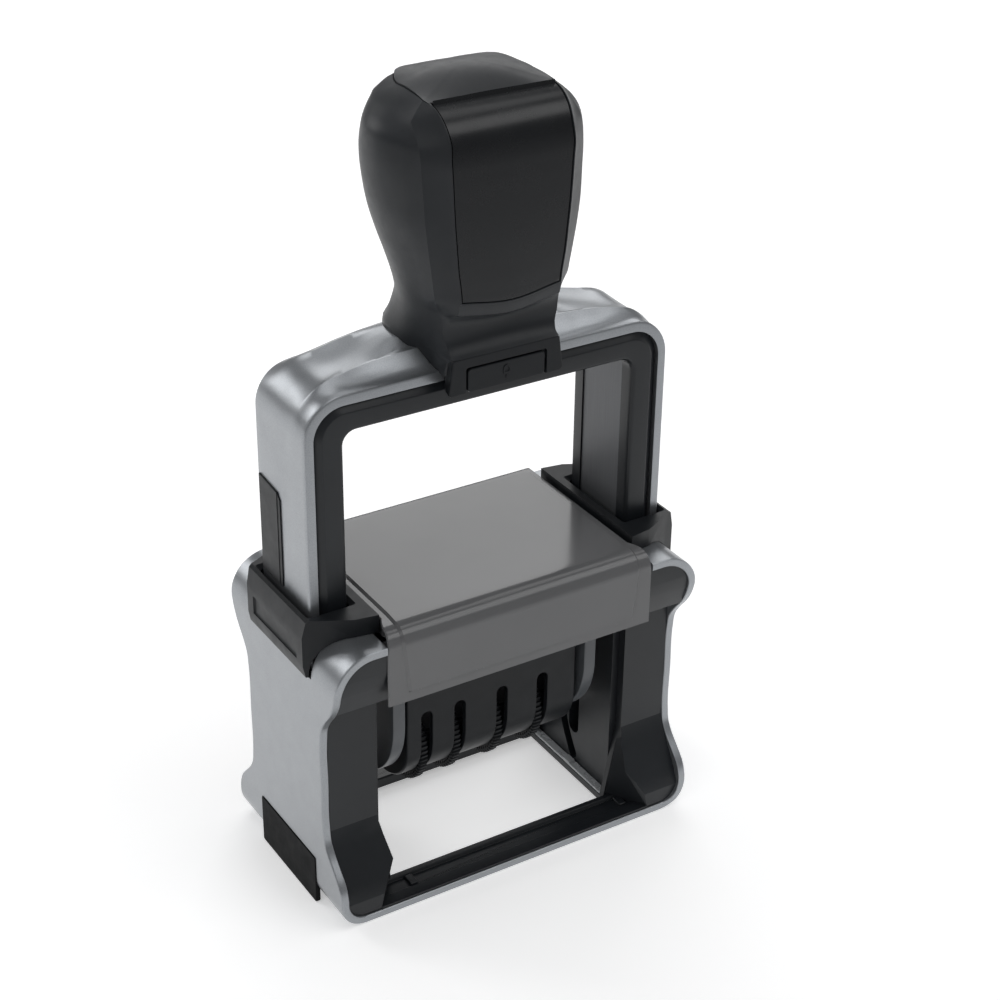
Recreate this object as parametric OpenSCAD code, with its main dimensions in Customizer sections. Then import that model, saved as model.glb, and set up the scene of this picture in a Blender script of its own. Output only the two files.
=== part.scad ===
// Self-inking rotary date stamp: a press frame with a handle slides in a base,
// turns the type unit over on its pivot pins and brings it down to the paper.
// Millimetres, +Z up, +X to the right, the front faces -Y. Origin: centre of the footprint.

/* [Base] */
// Half width of the shell across its side walls
base_half_w = 43.8; // [43.5:0.1:44.4]
// Height of the shell's shoulders
shoulder_z = 66.5; // [66:0.1:67]
// Half depth of the shell at its foot
foot_half_d = 24.3; // [24:0.1:25]
// Half depth of the shell at its waist
waist_half_d = 16.6; // [16.2:0.1:17]
// Half width of the opening over the paper
window_half_w = 27.4; // [27:0.1:27.6]
// Half depth of the opening over the paper
window_half_d = 15.5; // [15.2:0.1:15.8]
// Wall thickness of the shell
shell_t = 1.75; // [1.6:0.05:1.9]

/* [Press frame] */
// Half width of the arch
arch_half_w = 42; // [41.8:0.1:42]
// Half depth of the arch
arch_half_d = 10.75; // [10.5:0.05:10.8]
// Half width of the opening in the arch
arch_open_half_w = 33.5; // [33.4:0.1:33.6]
// Underside of the arch's top bar
bar_z = 108.4; // [108:0.1:112]
// Thickness of the arch's silver cladding
clad_t = 2; // [1.8:0.1:2]

/* [Stroke] */
// How far the frame travels down
stroke = 36; // [35.5:0.1:36]
// Distance from the pivot axis to the printing face
face_reach = 12; // [11.8:0.1:12]
// Gap between the printing face and the ink pad at rest
pad_gap = 0.4; // [0.4:0.05:0.6]

/* [Type unit] */
// Half width of the text plate
plate_half_w = 24.5; // [23:0.5:24.5]
// Half depth of the text plate
plate_half_d = 14; // [12:0.5:14]
// Radius of a thumb wheel over its teeth
wheel_r = 11; // [10:0.1:11]
// Number of teeth on a thumb wheel
wheel_teeth = 60; // [40:1:60]
// Width of a date band
band_w = 4.4; // [3.6:0.1:4.4]

/* [Handle] */
// Height of the handle's crown
handle_top_z = 173.5; // [170:0.5:178]
// Half width of the grip at its widest
grip_half_w = 22.8; // [22:0.2:24.4]
// Half depth of the grip at its deepest
grip_half_d = 17.4; // [16.8:0.1:18]

/* [Hidden] */

$fn = 48;
far = 100;
eps = 0.01;

// Colours
silver = [0.74, 0.75, 0.78];
black = [0.09, 0.10, 0.11];
soft_black = [0.13, 0.13, 0.14];
smoke = [0.45, 0.46, 0.48, 0.8];
steel = [0.6, 0.6, 0.62];

// Base levels
rim_top = 2.05;
rail_bottom = 0.3;
rail_lip_z = 2.5;
neck_in = 31;
waist_floor = 20;
frame_floor = 2.1;
shell_inner_w = base_half_w - shell_t;
shoulder_r = 9;
foot_r = 6.5;
shoulder_half_d = foot_half_d - 0.5;
shell_end_x = 32;
rim_end_x = 34;
profile_inset = 0.4;

// Half depth of the shell against height: wide foot, narrow waist, wide shoulder
depth_steps = [
    [0, foot_half_d - 0.5], [1.5, foot_half_d], [8, foot_half_d - 0.1], [11, foot_half_d - 1.2],
    [13.5, foot_half_d - 3.4], [16, waist_half_d + 2], [18.5, waist_half_d + 0.4],
    [21, waist_half_d], [44.5, waist_half_d], [47, waist_half_d + 0.5],
    [49.5, waist_half_d + 2], [52.5, waist_half_d + 4.4], [55.5, shoulder_half_d - 1.1],
    [59, shoulder_half_d - 0.2], [64, shoulder_half_d], [shoulder_z + 0.5, shoulder_half_d]
];

// Wall with the cam track, inside the shell
cam_in = 29.4;
cam_out = 32.4;
cam_half_d = 14;
cam_top = 64.5;
track_depth = 2.2;
slide_gap = 0.3;

// Legs and their shafts in the base
leg_bottom = 40;
shaft_in = cam_out + 0.1;
shaft_half_d = 11.4;
shaft_floor = 3.5;
inlay_proud = 0.4;
shaft_out = arch_half_w + inlay_proud + slide_gap;
trim_in_y = 7.1;
core_half_d = 7;
core_in = arch_open_half_w + 0.3;
core_out = arch_half_w - clad_t - 0.1;
trim_top = bar_z + 5.9;
arch_corner_r = 8.7;
arch_top = bar_z + 8.1;
arch_peak = bar_z + 13.2;

// Collars around the legs
collar_bottom = 57.5;
collar_top = 70.6;
collar_step_z = shoulder_z + 0.1;
collar_in = 30.4;
collar_out = 44.9;
collar_half_d = 13.6;
collar_gap = 0.4;

// Springs
spring_x = (core_in + core_out) / 2;
spring_y = 4.2;
spring_bore_r = 2.4;
spring_coil_r = 1.7;
spring_wire_r = 0.35;
spring_turns = 16;
spring_bottom = 3.6;
spring_top = 100;
rod_r = 1.1;
rod_foot_r = 2.2;
rod_top = 60;

// Pivot, cam follower and flip
axis_z = stroke + face_reach;
pivot_r = 1.6;
follower_r = 1.2;
follower_arm = 7.6;
flange_in = 22.3;
flange_out = 25.3;
running_gap = 0.05;

// Ink cartridge under the hood
pad_z = axis_z + face_reach + pad_gap;
pad_half_w = 25.5;
pad_half_d = 16;
felt_t = 2.6;
cartridge_top = 66;
cartridge_half_w = 26;
cartridge_half_d = 19.5;
wing_z = 61.3;
wing_t = 1;
wing_half_w = 27.2;

// Hood
hood_top = 69.7;
hood_half_w = 29.8;
apron_half_w = 31.7;
apron_y = 24.2;
apron_bottom = 52.4;
hood_t = 1.2;

// Type unit
housing_half_w = 21.2;
housing_half_d = 12;
housing_arc_z = 31;
housing_wall = 1.5;
housing_top = 55.8;
die_t = 1.8;
plate_t = 1.6;
face_z = axis_z + face_reach;
plate_top = face_z - die_t;
plate_bottom = plate_top - plate_t;
wheel_z = 27.3;
wheel_t = 2;
hub_r = 5.1;
axle_r = 1.5;
slot_w = 2.7;
slot_top_z = 38.9;
disc_x = [-16.3, -8.2, 2.3, 12.5];
band_t = 1.1;
band_gap = 0.3;
band_tip_r = 2.2;
window_w = 7.4;
bridge_r = band_tip_r - band_gap;
band_tip_z = face_z - band_tip_r - band_t;

// Saddle, button and grip
saddle_half_w = 13.3;
saddle_half_d = 15.5;
saddle_top = 122;
saddle_skirt = bar_z + 2;
button_half_w = 8.8;
button_bottom = 112.9;
button_top = 118.2;
button_face = 16.3;
button_back = 12.9;
grip_bottom = saddle_top + 0.05;
cap_split_z = 167;
screw_x = 7.5;
screw_r = 1.5;
screw_head_r = 2.8;
screw_head_t = 2;
screw_top = 136;
panel_proud = 0.6;

grip_widths = [
    [0, 18.6], [3, 17.2], [8, 16], [14, 16.4], [22, 18.8], [30, 21.6], [36, grip_half_w],
    [41, grip_half_w - 0.7], [45, grip_half_w - 2.6], [48.5, grip_half_w - 6], [51, 12.5], [52.45, 5.5]
];
grip_depths = [
    [0, 12.6], [3, 12.8], [8, 15.6], [14, grip_half_d - 0.6], [22, grip_half_d],
    [30, grip_half_d], [36, grip_half_d - 0.9], [41, grip_half_d - 3], [45, grip_half_d - 5.6],
    [48.5, 8.4], [51, 5.6], [52.45, 2.4]
];
grip_rings = [for (row = grip_widths) row[0]];
grip_stretch = (handle_top_z - grip_bottom) / grip_rings[len(grip_rings) - 1];
grip_n = 40;
grip_power = 0.78;

function arc(cx, cy, r, a0, a1, n = 6) =
    [for (i = [0:n]) [cx + r * cos(a0 + (a1 - a0) * i / n), cy + r * sin(a0 + (a1 - a0) * i / n)]];

function reversed(pts) = [for (i = [len(pts) - 1:-1:0]) pts[i]];

function mirrored(pts) = concat(pts, [for (p = reversed(pts)) [-p[0], p[1]]]);

// Outline of the shell seen from the front, drawn inwards by inset
function front_outline(inset) = mirrored(concat(
    arc(base_half_w - foot_r, foot_r, foot_r - inset, -90, 0),
    arc(base_half_w - shoulder_r, shoulder_z - shoulder_r, shoulder_r - inset, 0, 90)));

// Outline of the shell seen from the side, drawn inwards by inset
function side_outline(inset) = mirrored([for (row = depth_steps) [row[1] - inset, row[0]]]);

// Outline of the arch seen from the front, from its foot at z0
function arch_outline(half_w, top, r, z0) = mirrored(concat([[half_w, z0]], arc(half_w - r, top - r, r, 0, 90)));

// Where the cam follower is when the unit has turned by a degrees
function follower_at(a) = [
    follower_arm * sin(a),
    axis_z - stroke * a / 180 + follower_arm * cos(a)
];

// A side of the cam track, offset by d from the follower's path
function track_side(d) = [for (a = [0:7.5:180])
    let (p = follower_at(max(a - 1, 0)), q = follower_at(min(a + 1, 180)), t = (q - p) / norm(q - p))
    follower_at(a) + d * [-t[1], t[0]]];

// One ring of the grip: a rounded rectangle at height h above the grip's bottom, grown by d
function grip_ring(h, d) = [for (i = [0:grip_n - 1])
    let (a = 360 * i / grip_n, c = cos(a), s = sin(a))
    [(lookup(h, grip_widths) + d) * sign(c) * pow(abs(c), grip_power),
     (lookup(h, grip_depths) + d) * sign(s) * pow(abs(s), grip_power),
     grip_bottom + h * grip_stretch]];

module along_x(half) rotate([90, 0, 90]) linear_extrude(2 * half, center = true) children();
module along_y(half) rotate([90, 0, 0]) linear_extrude(2 * half, center = true) children();
module x_rod(x0, x1, y, z, r) translate([x0, y, z]) rotate([0, 90, 0]) cylinder(r = r, h = x1 - x0);
module block(x0, x1, y0, y1, z0, z1) translate([x0, y0, z0]) cube([x1 - x0, y1 - y0, z1 - z0]);
module slab(x0, x1, half_d, z0, z1) block(x0, x1, -half_d, half_d, z0, z1);
module left() mirror([1, 0, 0]) children();
module rear() mirror([0, 1, 0]) children();

// ---- Base ----

// Space taken by a foot insert, growing the recess by g
module insert_space(g) {
    difference() {
        slab(38.4 - g, base_half_w + 1, 12.7 + g, -1, 11.9 + g);
        along_y(far) polygon(front_outline(0.9));
    }
}

module side_shell() {
    color(silver) difference() {
        intersection() {
            along_x(far) polygon(side_outline(0));
            along_y(far) polygon(front_outline(0));
            union() {
                slab(rim_end_x, far, far, -1, far);
                slab(shell_end_x, far, far, 30, far);
            }
        }
        along_y(far) polygon(front_outline(shell_t));
        slab(shaft_in, shaft_out, shaft_half_d, shaft_floor, far);
        slab(shell_end_x - 1, far, collar_half_d + 0.1, collar_bottom - 0.1, far);
        insert_space(0.05);
    }
}

module bottom_rim() {
    color(silver) block(-rim_end_x + eps, rim_end_x - eps, -foot_half_d + 0.2, -22.25, 0, rim_top);
}

module rail() {
    color(black) union() {
        block(-rim_end_x + eps, rim_end_x - eps, -22.2, -window_half_d, rail_bottom, rim_top);
        block(-window_half_w + 0.1, window_half_w - 0.1, -23.7, -window_half_d, rim_top, rail_lip_z);
    }
}

module side_rail() {
    color(black) slab(window_half_w, rim_end_x - eps, window_half_d - eps, rail_bottom, rim_top);
}

module position_strip() {
    color("gainsboro") union() {
        slab(window_half_w + 0.3, cam_in - 0.2, 14, rim_top, rim_top + 0.6);
        slab(window_half_w + 0.1, cam_in - 0.1, 1.5, rim_top, rim_top + 0.9);
    }
}

// Black post frame between the shell and the cam wall, with chamfered window edges
module inner_frame() {
    color(black) difference() {
        intersection() {
            along_x(far) polygon(side_outline(profile_inset));
            along_y(far) polygon(front_outline(shell_t + 0.05));
            translate([0, 0, frame_floor]) linear_extrude(far) polygon([
                [window_half_w, -window_half_d], [38, -foot_half_d], [far, -foot_half_d],
                [far, foot_half_d], [38, foot_half_d], [window_half_w, window_half_d]
            ]);
            along_y(far) polygon([[window_half_w, 0], [neck_in, waist_floor], [neck_in, far], [far, far], [far, 0]]);
        }
        slab(shaft_in - eps, far, shaft_half_d, shaft_floor, far);
        translate([spring_x, spring_y, 0]) cylinder(r = rod_foot_r + running_gap, h = shaft_floor + 1);
        slab(0, shaft_in, cam_half_d + 0.1, 0, far);
        slab(cam_out, far, collar_half_d + 0.1, collar_bottom - 0.1, far);
    }
}

// Inner wall with the slot for the pivot pin and the track that turns the type unit
module cam_wall() {
    color(soft_black) difference() {
        slab(cam_in, cam_out, cam_half_d, frame_floor, cam_top);
        hull() for (z = [axis_z - stroke, axis_z]) x_rod(cam_in - 1, cam_out + 1, 0, z, pivot_r + slide_gap);
        translate([cam_in + track_depth / 2 - 0.5, 0, 0]) along_x(track_depth / 2 + 0.5)
            polygon(concat(track_side(follower_r + slide_gap), reversed(track_side(-follower_r - slide_gap))));
        for (a = [0, 180]) let (p = follower_at(a))
            x_rod(cam_in - 1, cam_in + track_depth, p[0], p[1], follower_r + slide_gap);
    }
}

module foot_insert() {
    color(black) intersection() {
        insert_space(0);
        along_y(far) polygon([[0, 0.1], [43.3, 0.1], [44.1, 11.9], [44.1, 20], [0, 20]]);
    }
}

// Collar that guides a leg: a wide top plate over the shoulder and a skirt in the side wall
module guide_collar() {
    color(black) difference() {
        union() {
            translate([0, 0, collar_step_z]) linear_extrude(collar_top - collar_step_z) polygon([
                [collar_in, -17.8], [35.5, -17], [42, collar_half_d * -1], [44.2, -12.4],
                [44.2, 12.4], [42, collar_half_d], [35.5, 17], [collar_in, 17.8]
            ]);
            slab(cam_out + 0.1, collar_out - 0.5, collar_half_d, collar_bottom, collar_step_z + 1);
            slab(43, collar_out, 12.4, collar_bottom + 1.5, collar_step_z);
        }
        slab(arch_open_half_w - collar_gap, shaft_out + 0.1, arch_half_d + collar_gap, 0, far);
    }
}

module pad_rail() {
    color(black) slab(cartridge_half_w + 0.3, cam_in - eps, 13.8, wing_z - 1.5, wing_z - 0.15);
}

module dust_hood() {
    color(smoke) union() {
        slab(-hood_half_w, hood_half_w, 18, hood_top - hood_t, hood_top);
        for (s = [-1, 1]) slab(s * (hood_half_w - hood_t / 2) - hood_t / 2,
            s * (hood_half_w - hood_t / 2) + hood_t / 2, 18, cam_top + 0.2, hood_top - hood_t + eps);
        along_x(apron_half_w) polygon([
            [-18 + eps, hood_top], [-22, hood_top - 0.7], [-23.6, hood_top - 2.3],
            [-apron_y, hood_top - 5], [-apron_y, apron_bottom], [-apron_y + hood_t, apron_bottom],
            [-apron_y + hood_t, hood_top - 5], [-22.4, hood_top - 3], [-21.6, hood_top - 2], [-18 + eps, hood_top - hood_t]
        ]);
        along_x(hood_half_w) polygon([
            [18 - eps, hood_top], [22, hood_top - 0.7], [23.6, hood_top - 2.3], [23.6, 66.4],
            [22.4, 66.4], [22.4, hood_top - 2.6], [21.6, hood_top - 2], [18 - eps, hood_top - hood_t]
        ]);
    }
}

module spring_rod() {
    color(steel) translate([spring_x, spring_y, frame_floor]) {
        cylinder(r = rod_r, h = rod_top - frame_floor);
        cylinder(r = rod_foot_r, h = spring_bottom - frame_floor - spring_wire_r - 0.05);
    }
}

// Coil spring: a round wire swept along a helix
module return_spring() {
    per_turn = 12;
    sides = 6;
    rings = spring_turns * per_turn;
    rise = (spring_top - spring_bottom) / rings;
    pts = [for (i = [0:rings], k = [0:sides - 1])
        let (a = 360 * i / per_turn, b = 360 * k / sides, r = spring_coil_r + spring_wire_r * cos(b))
        [r * cos(a), r * sin(a), spring_bottom + i * rise + spring_wire_r * sin(b)]];
    walls = [for (i = [0:rings - 1], k = [0:sides - 1])
        let (n = (k + 1) % sides, p = i * sides, q = p + sides)
        each [[p + k, p + n, q + n], [p + k, q + n, q + k]]];
    ends = [[for (k = [sides - 1:-1:0]) k], [for (k = [0:sides - 1]) rings * sides + k]];
    color(steel) translate([spring_x, spring_y, 0]) polyhedron(pts, concat(walls, ends));
}

// ---- Ink cartridge ----

module ink_cartridge() {
    color(black) difference() {
        union() {
            slab(-cartridge_half_w, cartridge_half_w, cartridge_half_d - 1.5, pad_z + 0.6, cartridge_top);
            slab(-wing_half_w, wing_half_w, 16, wing_z, wing_z + wing_t);
            block(-cartridge_half_w, cartridge_half_w, cartridge_half_d - 2, 23.4, 59, cartridge_top);
            for (x = [-20:5:20]) block(x - 0.8, x + 0.8, 23.4 - eps, 23.9, 60, cartridge_top - 1);
        }
        slab(-pad_half_w, pad_half_w, pad_half_d, 0, pad_z + felt_t);
    }
}

module ink_pad_felt() {
    color("midnightblue") slab(-pad_half_w + 0.1, pad_half_w - 0.1, pad_half_d - 0.1, pad_z, pad_z + felt_t);
}

// ---- Press frame ----

module arch_shell() {
    color(silver) difference() {
        along_y(arch_half_d - 0.1) polygon(mirrored(concat(
            [[arch_half_w, leg_bottom + 4]],
            arc(arch_half_w - arch_corner_r, arch_top - arch_corner_r, arch_corner_r, 0, 82),
            [[31.5, arch_top + 1.9], [26, arch_peak - 1.8], [19, arch_peak - 1.2],
             [16.5, arch_peak], [saddle_half_w + 0.05, arch_peak]])));
        along_y(far) polygon(arch_outline(arch_half_w - clad_t, trim_top, arch_corner_r - clad_t, 0));
        slab(-saddle_half_w - 0.05, saddle_half_w + 0.05, far, bar_z, 2 * far);
    }
}

module arch_trim() {
    color(black) difference() {
        translate([0, -(arch_half_d + trim_in_y) / 2, 0]) along_y((arch_half_d - trim_in_y) / 2)
            difference() {
                polygon(arch_outline(arch_half_w - clad_t - 0.05, trim_top - 0.05, arch_corner_r - clad_t, leg_bottom + 4));
                polygon(arch_outline(arch_open_half_w, bar_z, 3, 0));
            }
    }
}

module bar_core() {
    color(steel) difference() {
        intersection() {
            slab(-core_out, core_out, core_half_d, bar_z + 0.05, trim_top - 0.05);
            along_y(far) polygon(arch_outline(arch_half_w - clad_t - 0.05, trim_top - 0.05, arch_corner_r - clad_t, 0));
        }
        for (s = [-1, 1]) translate([s * screw_x, 0, 0]) {
            cylinder(r = screw_r + running_gap, h = far * 2);
            cylinder(r = screw_head_r + 0.1, h = bar_z + 0.05 + screw_head_t);
        }
    }
}

module leg_core() {
    color(steel) difference() {
        slab(core_in, core_out, core_half_d, leg_bottom, bar_z);
        translate([spring_x, spring_y, leg_bottom - 1]) cylinder(r = spring_bore_r, h = spring_top + 0.5 - leg_bottom + 1);
        x_rod(core_in - 1, 38.1, 0, axis_z, pivot_r + 0.02);
    }
}

// Grip strip on the rear half of a leg's outer face, with a slanted top
module leg_inlay() {
    color(black) along_x_from(arch_half_w + 0.01, inlay_proud - 0.01)
        polygon([[0.6, collar_top + 0.6], [0.6, 90.8], [1.8, 92.2], [9.6, 93], [9.6, collar_top + 0.6]]);
}

module along_x_from(x, t) translate([x, 0, 0]) rotate([90, 0, 90]) linear_extrude(t) children();

module pivot_pin() {
    color(steel) x_rod(flange_in - 0.6, 38, 0, axis_z, pivot_r);
}

module saddle_block() {
    color(black) difference() {
        union() {
            slab(-saddle_half_w, saddle_half_w, saddle_half_d, trim_top + 0.05, saddle_top);
            for (s = [-1, 1]) slab_y(s);
        }
        block(-button_half_w - slide_gap, button_half_w + slide_gap, -far, -arch_half_d,
            button_bottom - slide_gap, button_top + slide_gap);
        for (s = [-1, 1]) translate([s * screw_x, 0, trim_top]) cylinder(r = screw_r + running_gap, h = far);
    }
}

module slab_y(s) {
    y0 = s > 0 ? arch_half_d + 0.05 : -saddle_half_d;
    block(-saddle_half_w, saddle_half_w, y0, y0 + saddle_half_d - arch_half_d - 0.05, saddle_skirt, trim_top + 1);
}

module saddle_screws() {
    color(steel) for (s = [-1, 1]) translate([s * screw_x, 0, bar_z + 0.3]) {
        cylinder(r = screw_r, h = screw_top - bar_z - 0.3);
        cylinder(r = screw_head_r, h = screw_head_t - 0.3);
    }
}

// The grip's outer form, a loft through its rings, grown by d
module grip_form(d = 0) {
    n = len(grip_rings);
    pts = [for (h = grip_rings) each grip_ring(h, d)];
    walls = [for (i = [0:n - 2], k = [0:grip_n - 1]) let (m = (k + 1) % grip_n)
        [i * grip_n + k, (i + 1) * grip_n + k, (i + 1) * grip_n + m, i * grip_n + m]];
    ends = [[for (k = [0:grip_n - 1]) k], [for (k = [grip_n - 1:-1:0]) (n - 1) * grip_n + k]];
    polyhedron(pts, concat(walls, ends));
}

module panel_zone(g) {
    along_y_front() polygon(mirrored([
        [10.8 + g, 131.5 - g], [12.2 + g, 146], [13.4 + g, 157], [13.4 + g, 163], [12.8 + g, cap_split_z + g]
    ]));
}

module along_y_front() translate([0, -4, 0]) rotate([90, 0, 0]) linear_extrude(far) children();

module grip_body() {
    color(black) difference() {
        grip_form();
        block(-far, far, -far, far, cap_split_z, 2 * far);
        difference() {
            panel_zone(0.05);
            grip_form(-0.8);
        }
        for (s = [-1, 1]) translate([s * screw_x, 0, 0]) cylinder(r = screw_r + running_gap, h = screw_top + 0.2, $fn = 24);
    }
}

module grip_cap() {
    color(soft_black) intersection() {
        grip_form();
        block(-far, far, -far, far, cap_split_z + 0.05, 2 * far);
    }
}

module label_panel() {
    color("black") intersection() {
        difference() {
            grip_form(panel_proud);
            grip_form(-0.75);
        }
        panel_zone(0);
        block(-far, far, -far, 0, 0, cap_split_z - 0.05);
    }
}

module lock_button() {
    color(soft_black) block(-button_half_w, button_half_w, -button_face, -button_back, button_bottom, button_top);
}

// ---- Type unit ----

module housing_outline(t) {
    union() {
        translate([0, housing_arc_z]) circle(r = housing_half_d - t);
        translate([-housing_half_d + t, housing_arc_z]) square([2 * (housing_half_d - t), far]);
    }
}

module type_housing() {
    color(black) difference() {
        intersection() {
            along_x(housing_half_w) housing_outline(0);
            slab(-far, far, far, 0, housing_top);
        }
        along_x(housing_half_w - housing_wall) housing_outline(housing_wall);
        for (x = disc_x) slab(x - slot_w / 2, x + slot_w / 2, far, 0, slot_top_z);
        x_rod(-far, far, 0, wheel_z, axle_r + 0.02);
    }
}

// End plate with the pivot bore and the follower that runs in the cam track
module end_flange() {
    color([0.25, 0.26, 0.28]) difference() {
        union() {
            intersection() {
                slab(flange_in, flange_out, 13.5, 20, plate_bottom - 0.1);
                x_rod(0, far, 5, 38.5, 18.5);
            }
            slab(housing_half_w, flange_in + eps, 9, 28, housing_top - 0.5);
            x_rod(flange_out - eps, cam_in + track_depth - 0.3, 0, axis_z + follower_arm, follower_r);
        }
        x_rod(housing_half_w - 1, flange_out + 1, 0, axis_z, pivot_r + running_gap);
    }
}

module text_plate() {
    color(black) difference() {
        slab(-plate_half_w, plate_half_w, plate_half_d, plate_bottom, plate_top);
        slab(-19.2, 19.2, window_w / 2, 0, far);
    }
}

module rubber_die() {
    color("firebrick") difference() {
        union() {
            slab(-plate_half_w, plate_half_w, plate_half_d, plate_top, face_z - 0.7);
            for (s = [-1, 1]) {
                block(-23, 23, s * 12 - 1.2, s * 12 + 1.2, face_z - 0.7 - eps, face_z);
                block(-17, 17, s * 7.5 - 1, s * 7.5 + 1, face_z - 0.7 - eps, face_z);
            }
        }
        slab(-19.2, 19.2, window_w / 2, 0, far);
    }
}

// Bar over which the date bands run behind the printing window
module band_bridge() {
    color(steel) union() {
        x_rod(-18.6, 18.6, 0, band_tip_z, bridge_r);
        for (s = [-1, 1]) slab(s * 19.1 - 0.55, s * 19.1 + 0.55, bridge_r, 45, plate_bottom - running_gap);
    }
}

module wheel_axle() {
    color(steel) x_rod(-housing_half_w, housing_half_w, 0, wheel_z, axle_r);
}

module date_band(x) {
    inner = hub_r + band_gap;
    color("dimgray") translate([x + wheel_t / 2 + 0.3 + band_w / 2, 0, 0]) along_x(band_w / 2) difference() {
        hull() {
            translate([0, wheel_z]) circle(r = inner + band_t);
            translate([0, band_tip_z]) circle(r = band_tip_r + band_t);
        }
        hull() {
            translate([0, wheel_z]) circle(r = inner);
            translate([0, band_tip_z]) circle(r = band_tip_r);
        }
    }
}

// Thumb wheel with a toothed disc and a hub that carries its band
module band_wheel(x) {
    tooth_h = 0.5;
    color(soft_black) difference() {
        union() {
            translate([x, 0, 0]) along_x(wheel_t / 2) translate([0, wheel_z]) polygon([
                for (i = [0:wheel_teeth - 1], k = [0:3])
                let (a = 360 * (i + k / 4) / wheel_teeth, r = k < 2 ? wheel_r : wheel_r - tooth_h) r * [cos(a), sin(a)]
            ]);
            x_rod(x, x + wheel_t / 2 + 0.3 + band_w, 0, wheel_z, hub_r);
        }
        x_rod(x - far, x + far, 0, wheel_z, axle_r + running_gap);
    }
}

left() side_shell();  // side_shell_left
side_shell();  // side_shell_right
bottom_rim();  // bottom_rim_front
rear() bottom_rim();  // bottom_rim_rear
rail();  // rail_front
rear() rail();  // rail_rear
left() side_rail();  // side_rail_left
side_rail();  // side_rail_right
left() position_strip();  // position_strip_left
position_strip();  // position_strip_right
left() inner_frame();  // inner_frame_left
inner_frame();  // inner_frame_right
left() cam_wall();  // cam_wall_left
cam_wall();  // cam_wall_right
left() foot_insert();  // foot_insert_left
foot_insert();  // foot_insert_right
left() guide_collar();  // guide_collar_left
guide_collar();  // guide_collar_right
left() pad_rail();  // pad_rail_left
pad_rail();  // pad_rail_right
dust_hood();
left() spring_rod();  // spring_rod_left
spring_rod();  // spring_rod_right
left() return_spring();  // return_spring_left
return_spring();  // return_spring_right
ink_cartridge();
ink_pad_felt();
arch_shell();
arch_trim();  // arch_trim_front
rear() arch_trim();  // arch_trim_rear
bar_core();
left() leg_core();  // leg_core_left
leg_core();  // leg_core_right
left() leg_inlay();  // leg_inlay_left
leg_inlay();  // leg_inlay_right
left() pivot_pin();  // pivot_pin_left
pivot_pin();  // pivot_pin_right
saddle_block();
saddle_screws();
grip_body();
grip_cap();
label_panel();
lock_button();
type_housing();
left() end_flange();  // end_flange_left
end_flange();  // end_flange_right
text_plate();
rubber_die();
band_bridge();
wheel_axle();
date_band(disc_x[0]);  // date_band_1
date_band(disc_x[1]);  // date_band_2
date_band(disc_x[2]);  // date_band_3
date_band(disc_x[3]);  // date_band_4
band_wheel(disc_x[0]);  // band_wheel_1
band_wheel(disc_x[1]);  // band_wheel_2
band_wheel(disc_x[2]);  // band_wheel_3
band_wheel(disc_x[3]);  // band_wheel_4
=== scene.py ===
"""Looks for the self-inking date stamp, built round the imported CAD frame.

Lengths in this script are millimetres in the CAD row frame, and MM turns them into metres."""

import math

import bmesh
import bpy
import numpy as np
from mathutils import Matrix, Vector


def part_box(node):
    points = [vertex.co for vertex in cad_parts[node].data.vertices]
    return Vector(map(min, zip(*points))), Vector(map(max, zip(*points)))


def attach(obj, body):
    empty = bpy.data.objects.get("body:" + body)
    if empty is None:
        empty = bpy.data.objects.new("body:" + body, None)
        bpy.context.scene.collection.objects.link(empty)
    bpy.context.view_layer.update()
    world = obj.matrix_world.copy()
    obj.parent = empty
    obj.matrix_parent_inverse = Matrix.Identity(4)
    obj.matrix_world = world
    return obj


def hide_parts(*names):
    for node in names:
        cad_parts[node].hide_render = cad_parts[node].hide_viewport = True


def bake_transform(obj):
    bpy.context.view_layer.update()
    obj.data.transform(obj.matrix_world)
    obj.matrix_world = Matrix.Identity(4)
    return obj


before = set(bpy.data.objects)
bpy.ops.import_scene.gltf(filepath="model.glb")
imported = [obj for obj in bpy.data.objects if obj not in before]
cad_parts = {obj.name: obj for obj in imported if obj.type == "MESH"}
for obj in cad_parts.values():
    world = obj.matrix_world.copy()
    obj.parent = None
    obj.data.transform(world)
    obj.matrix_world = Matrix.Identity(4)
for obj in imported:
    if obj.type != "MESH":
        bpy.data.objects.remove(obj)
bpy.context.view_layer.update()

MM = 0.001
SIDES = (-1, 1)


class Span:
    """Extent of a CAD node at rest, in millimetres."""

    def __init__(self, node):
        low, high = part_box(node)
        self.x0, self.y0, self.z0 = (v / MM for v in low)
        self.x1, self.y1, self.z1 = (v / MM for v in high)


# ---- Outlines ----


def arc(cx, cy, r, start, end, steps):
    """Points on an arc, angles in degrees."""
    angles = np.radians(np.linspace(start, end, steps + 1))
    return [(cx + r * math.cos(a), cy + r * math.sin(a)) for a in angles]


def corner(cx, cy, r, start, end, count):
    """Points and outward normals round a corner, between two angles."""
    out = []
    for a in np.radians(np.linspace(start, end, count)):
        n = (math.cos(a), math.sin(a))
        out.append(((cx + r * n[0], cy + r * n[1]), n))
    return out


def both_sides(path):
    """A path of points and normals that ends at the middle, continued over the other side."""
    return path + [((-p[0], p[1]), (-n[0], n[1])) for p, n in reversed(path)][1:]


def box_outline(x0, x1, y0, y1, r, steps=4):
    """Rectangle with corners of radius r, anticlockwise."""
    if r <= 0:
        return [(x0, y0), (x1, y0), (x1, y1), (x0, y1)]
    return (
        arc(x0 + r, y0 + r, r, 180, 270, steps)
        + arc(x1 - r, y0 + r, r, 270, 360, steps)
        + arc(x1 - r, y1 - r, r, 0, 90, steps)
        + arc(x0 + r, y1 - r, r, 90, 180, steps)
    )


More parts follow.
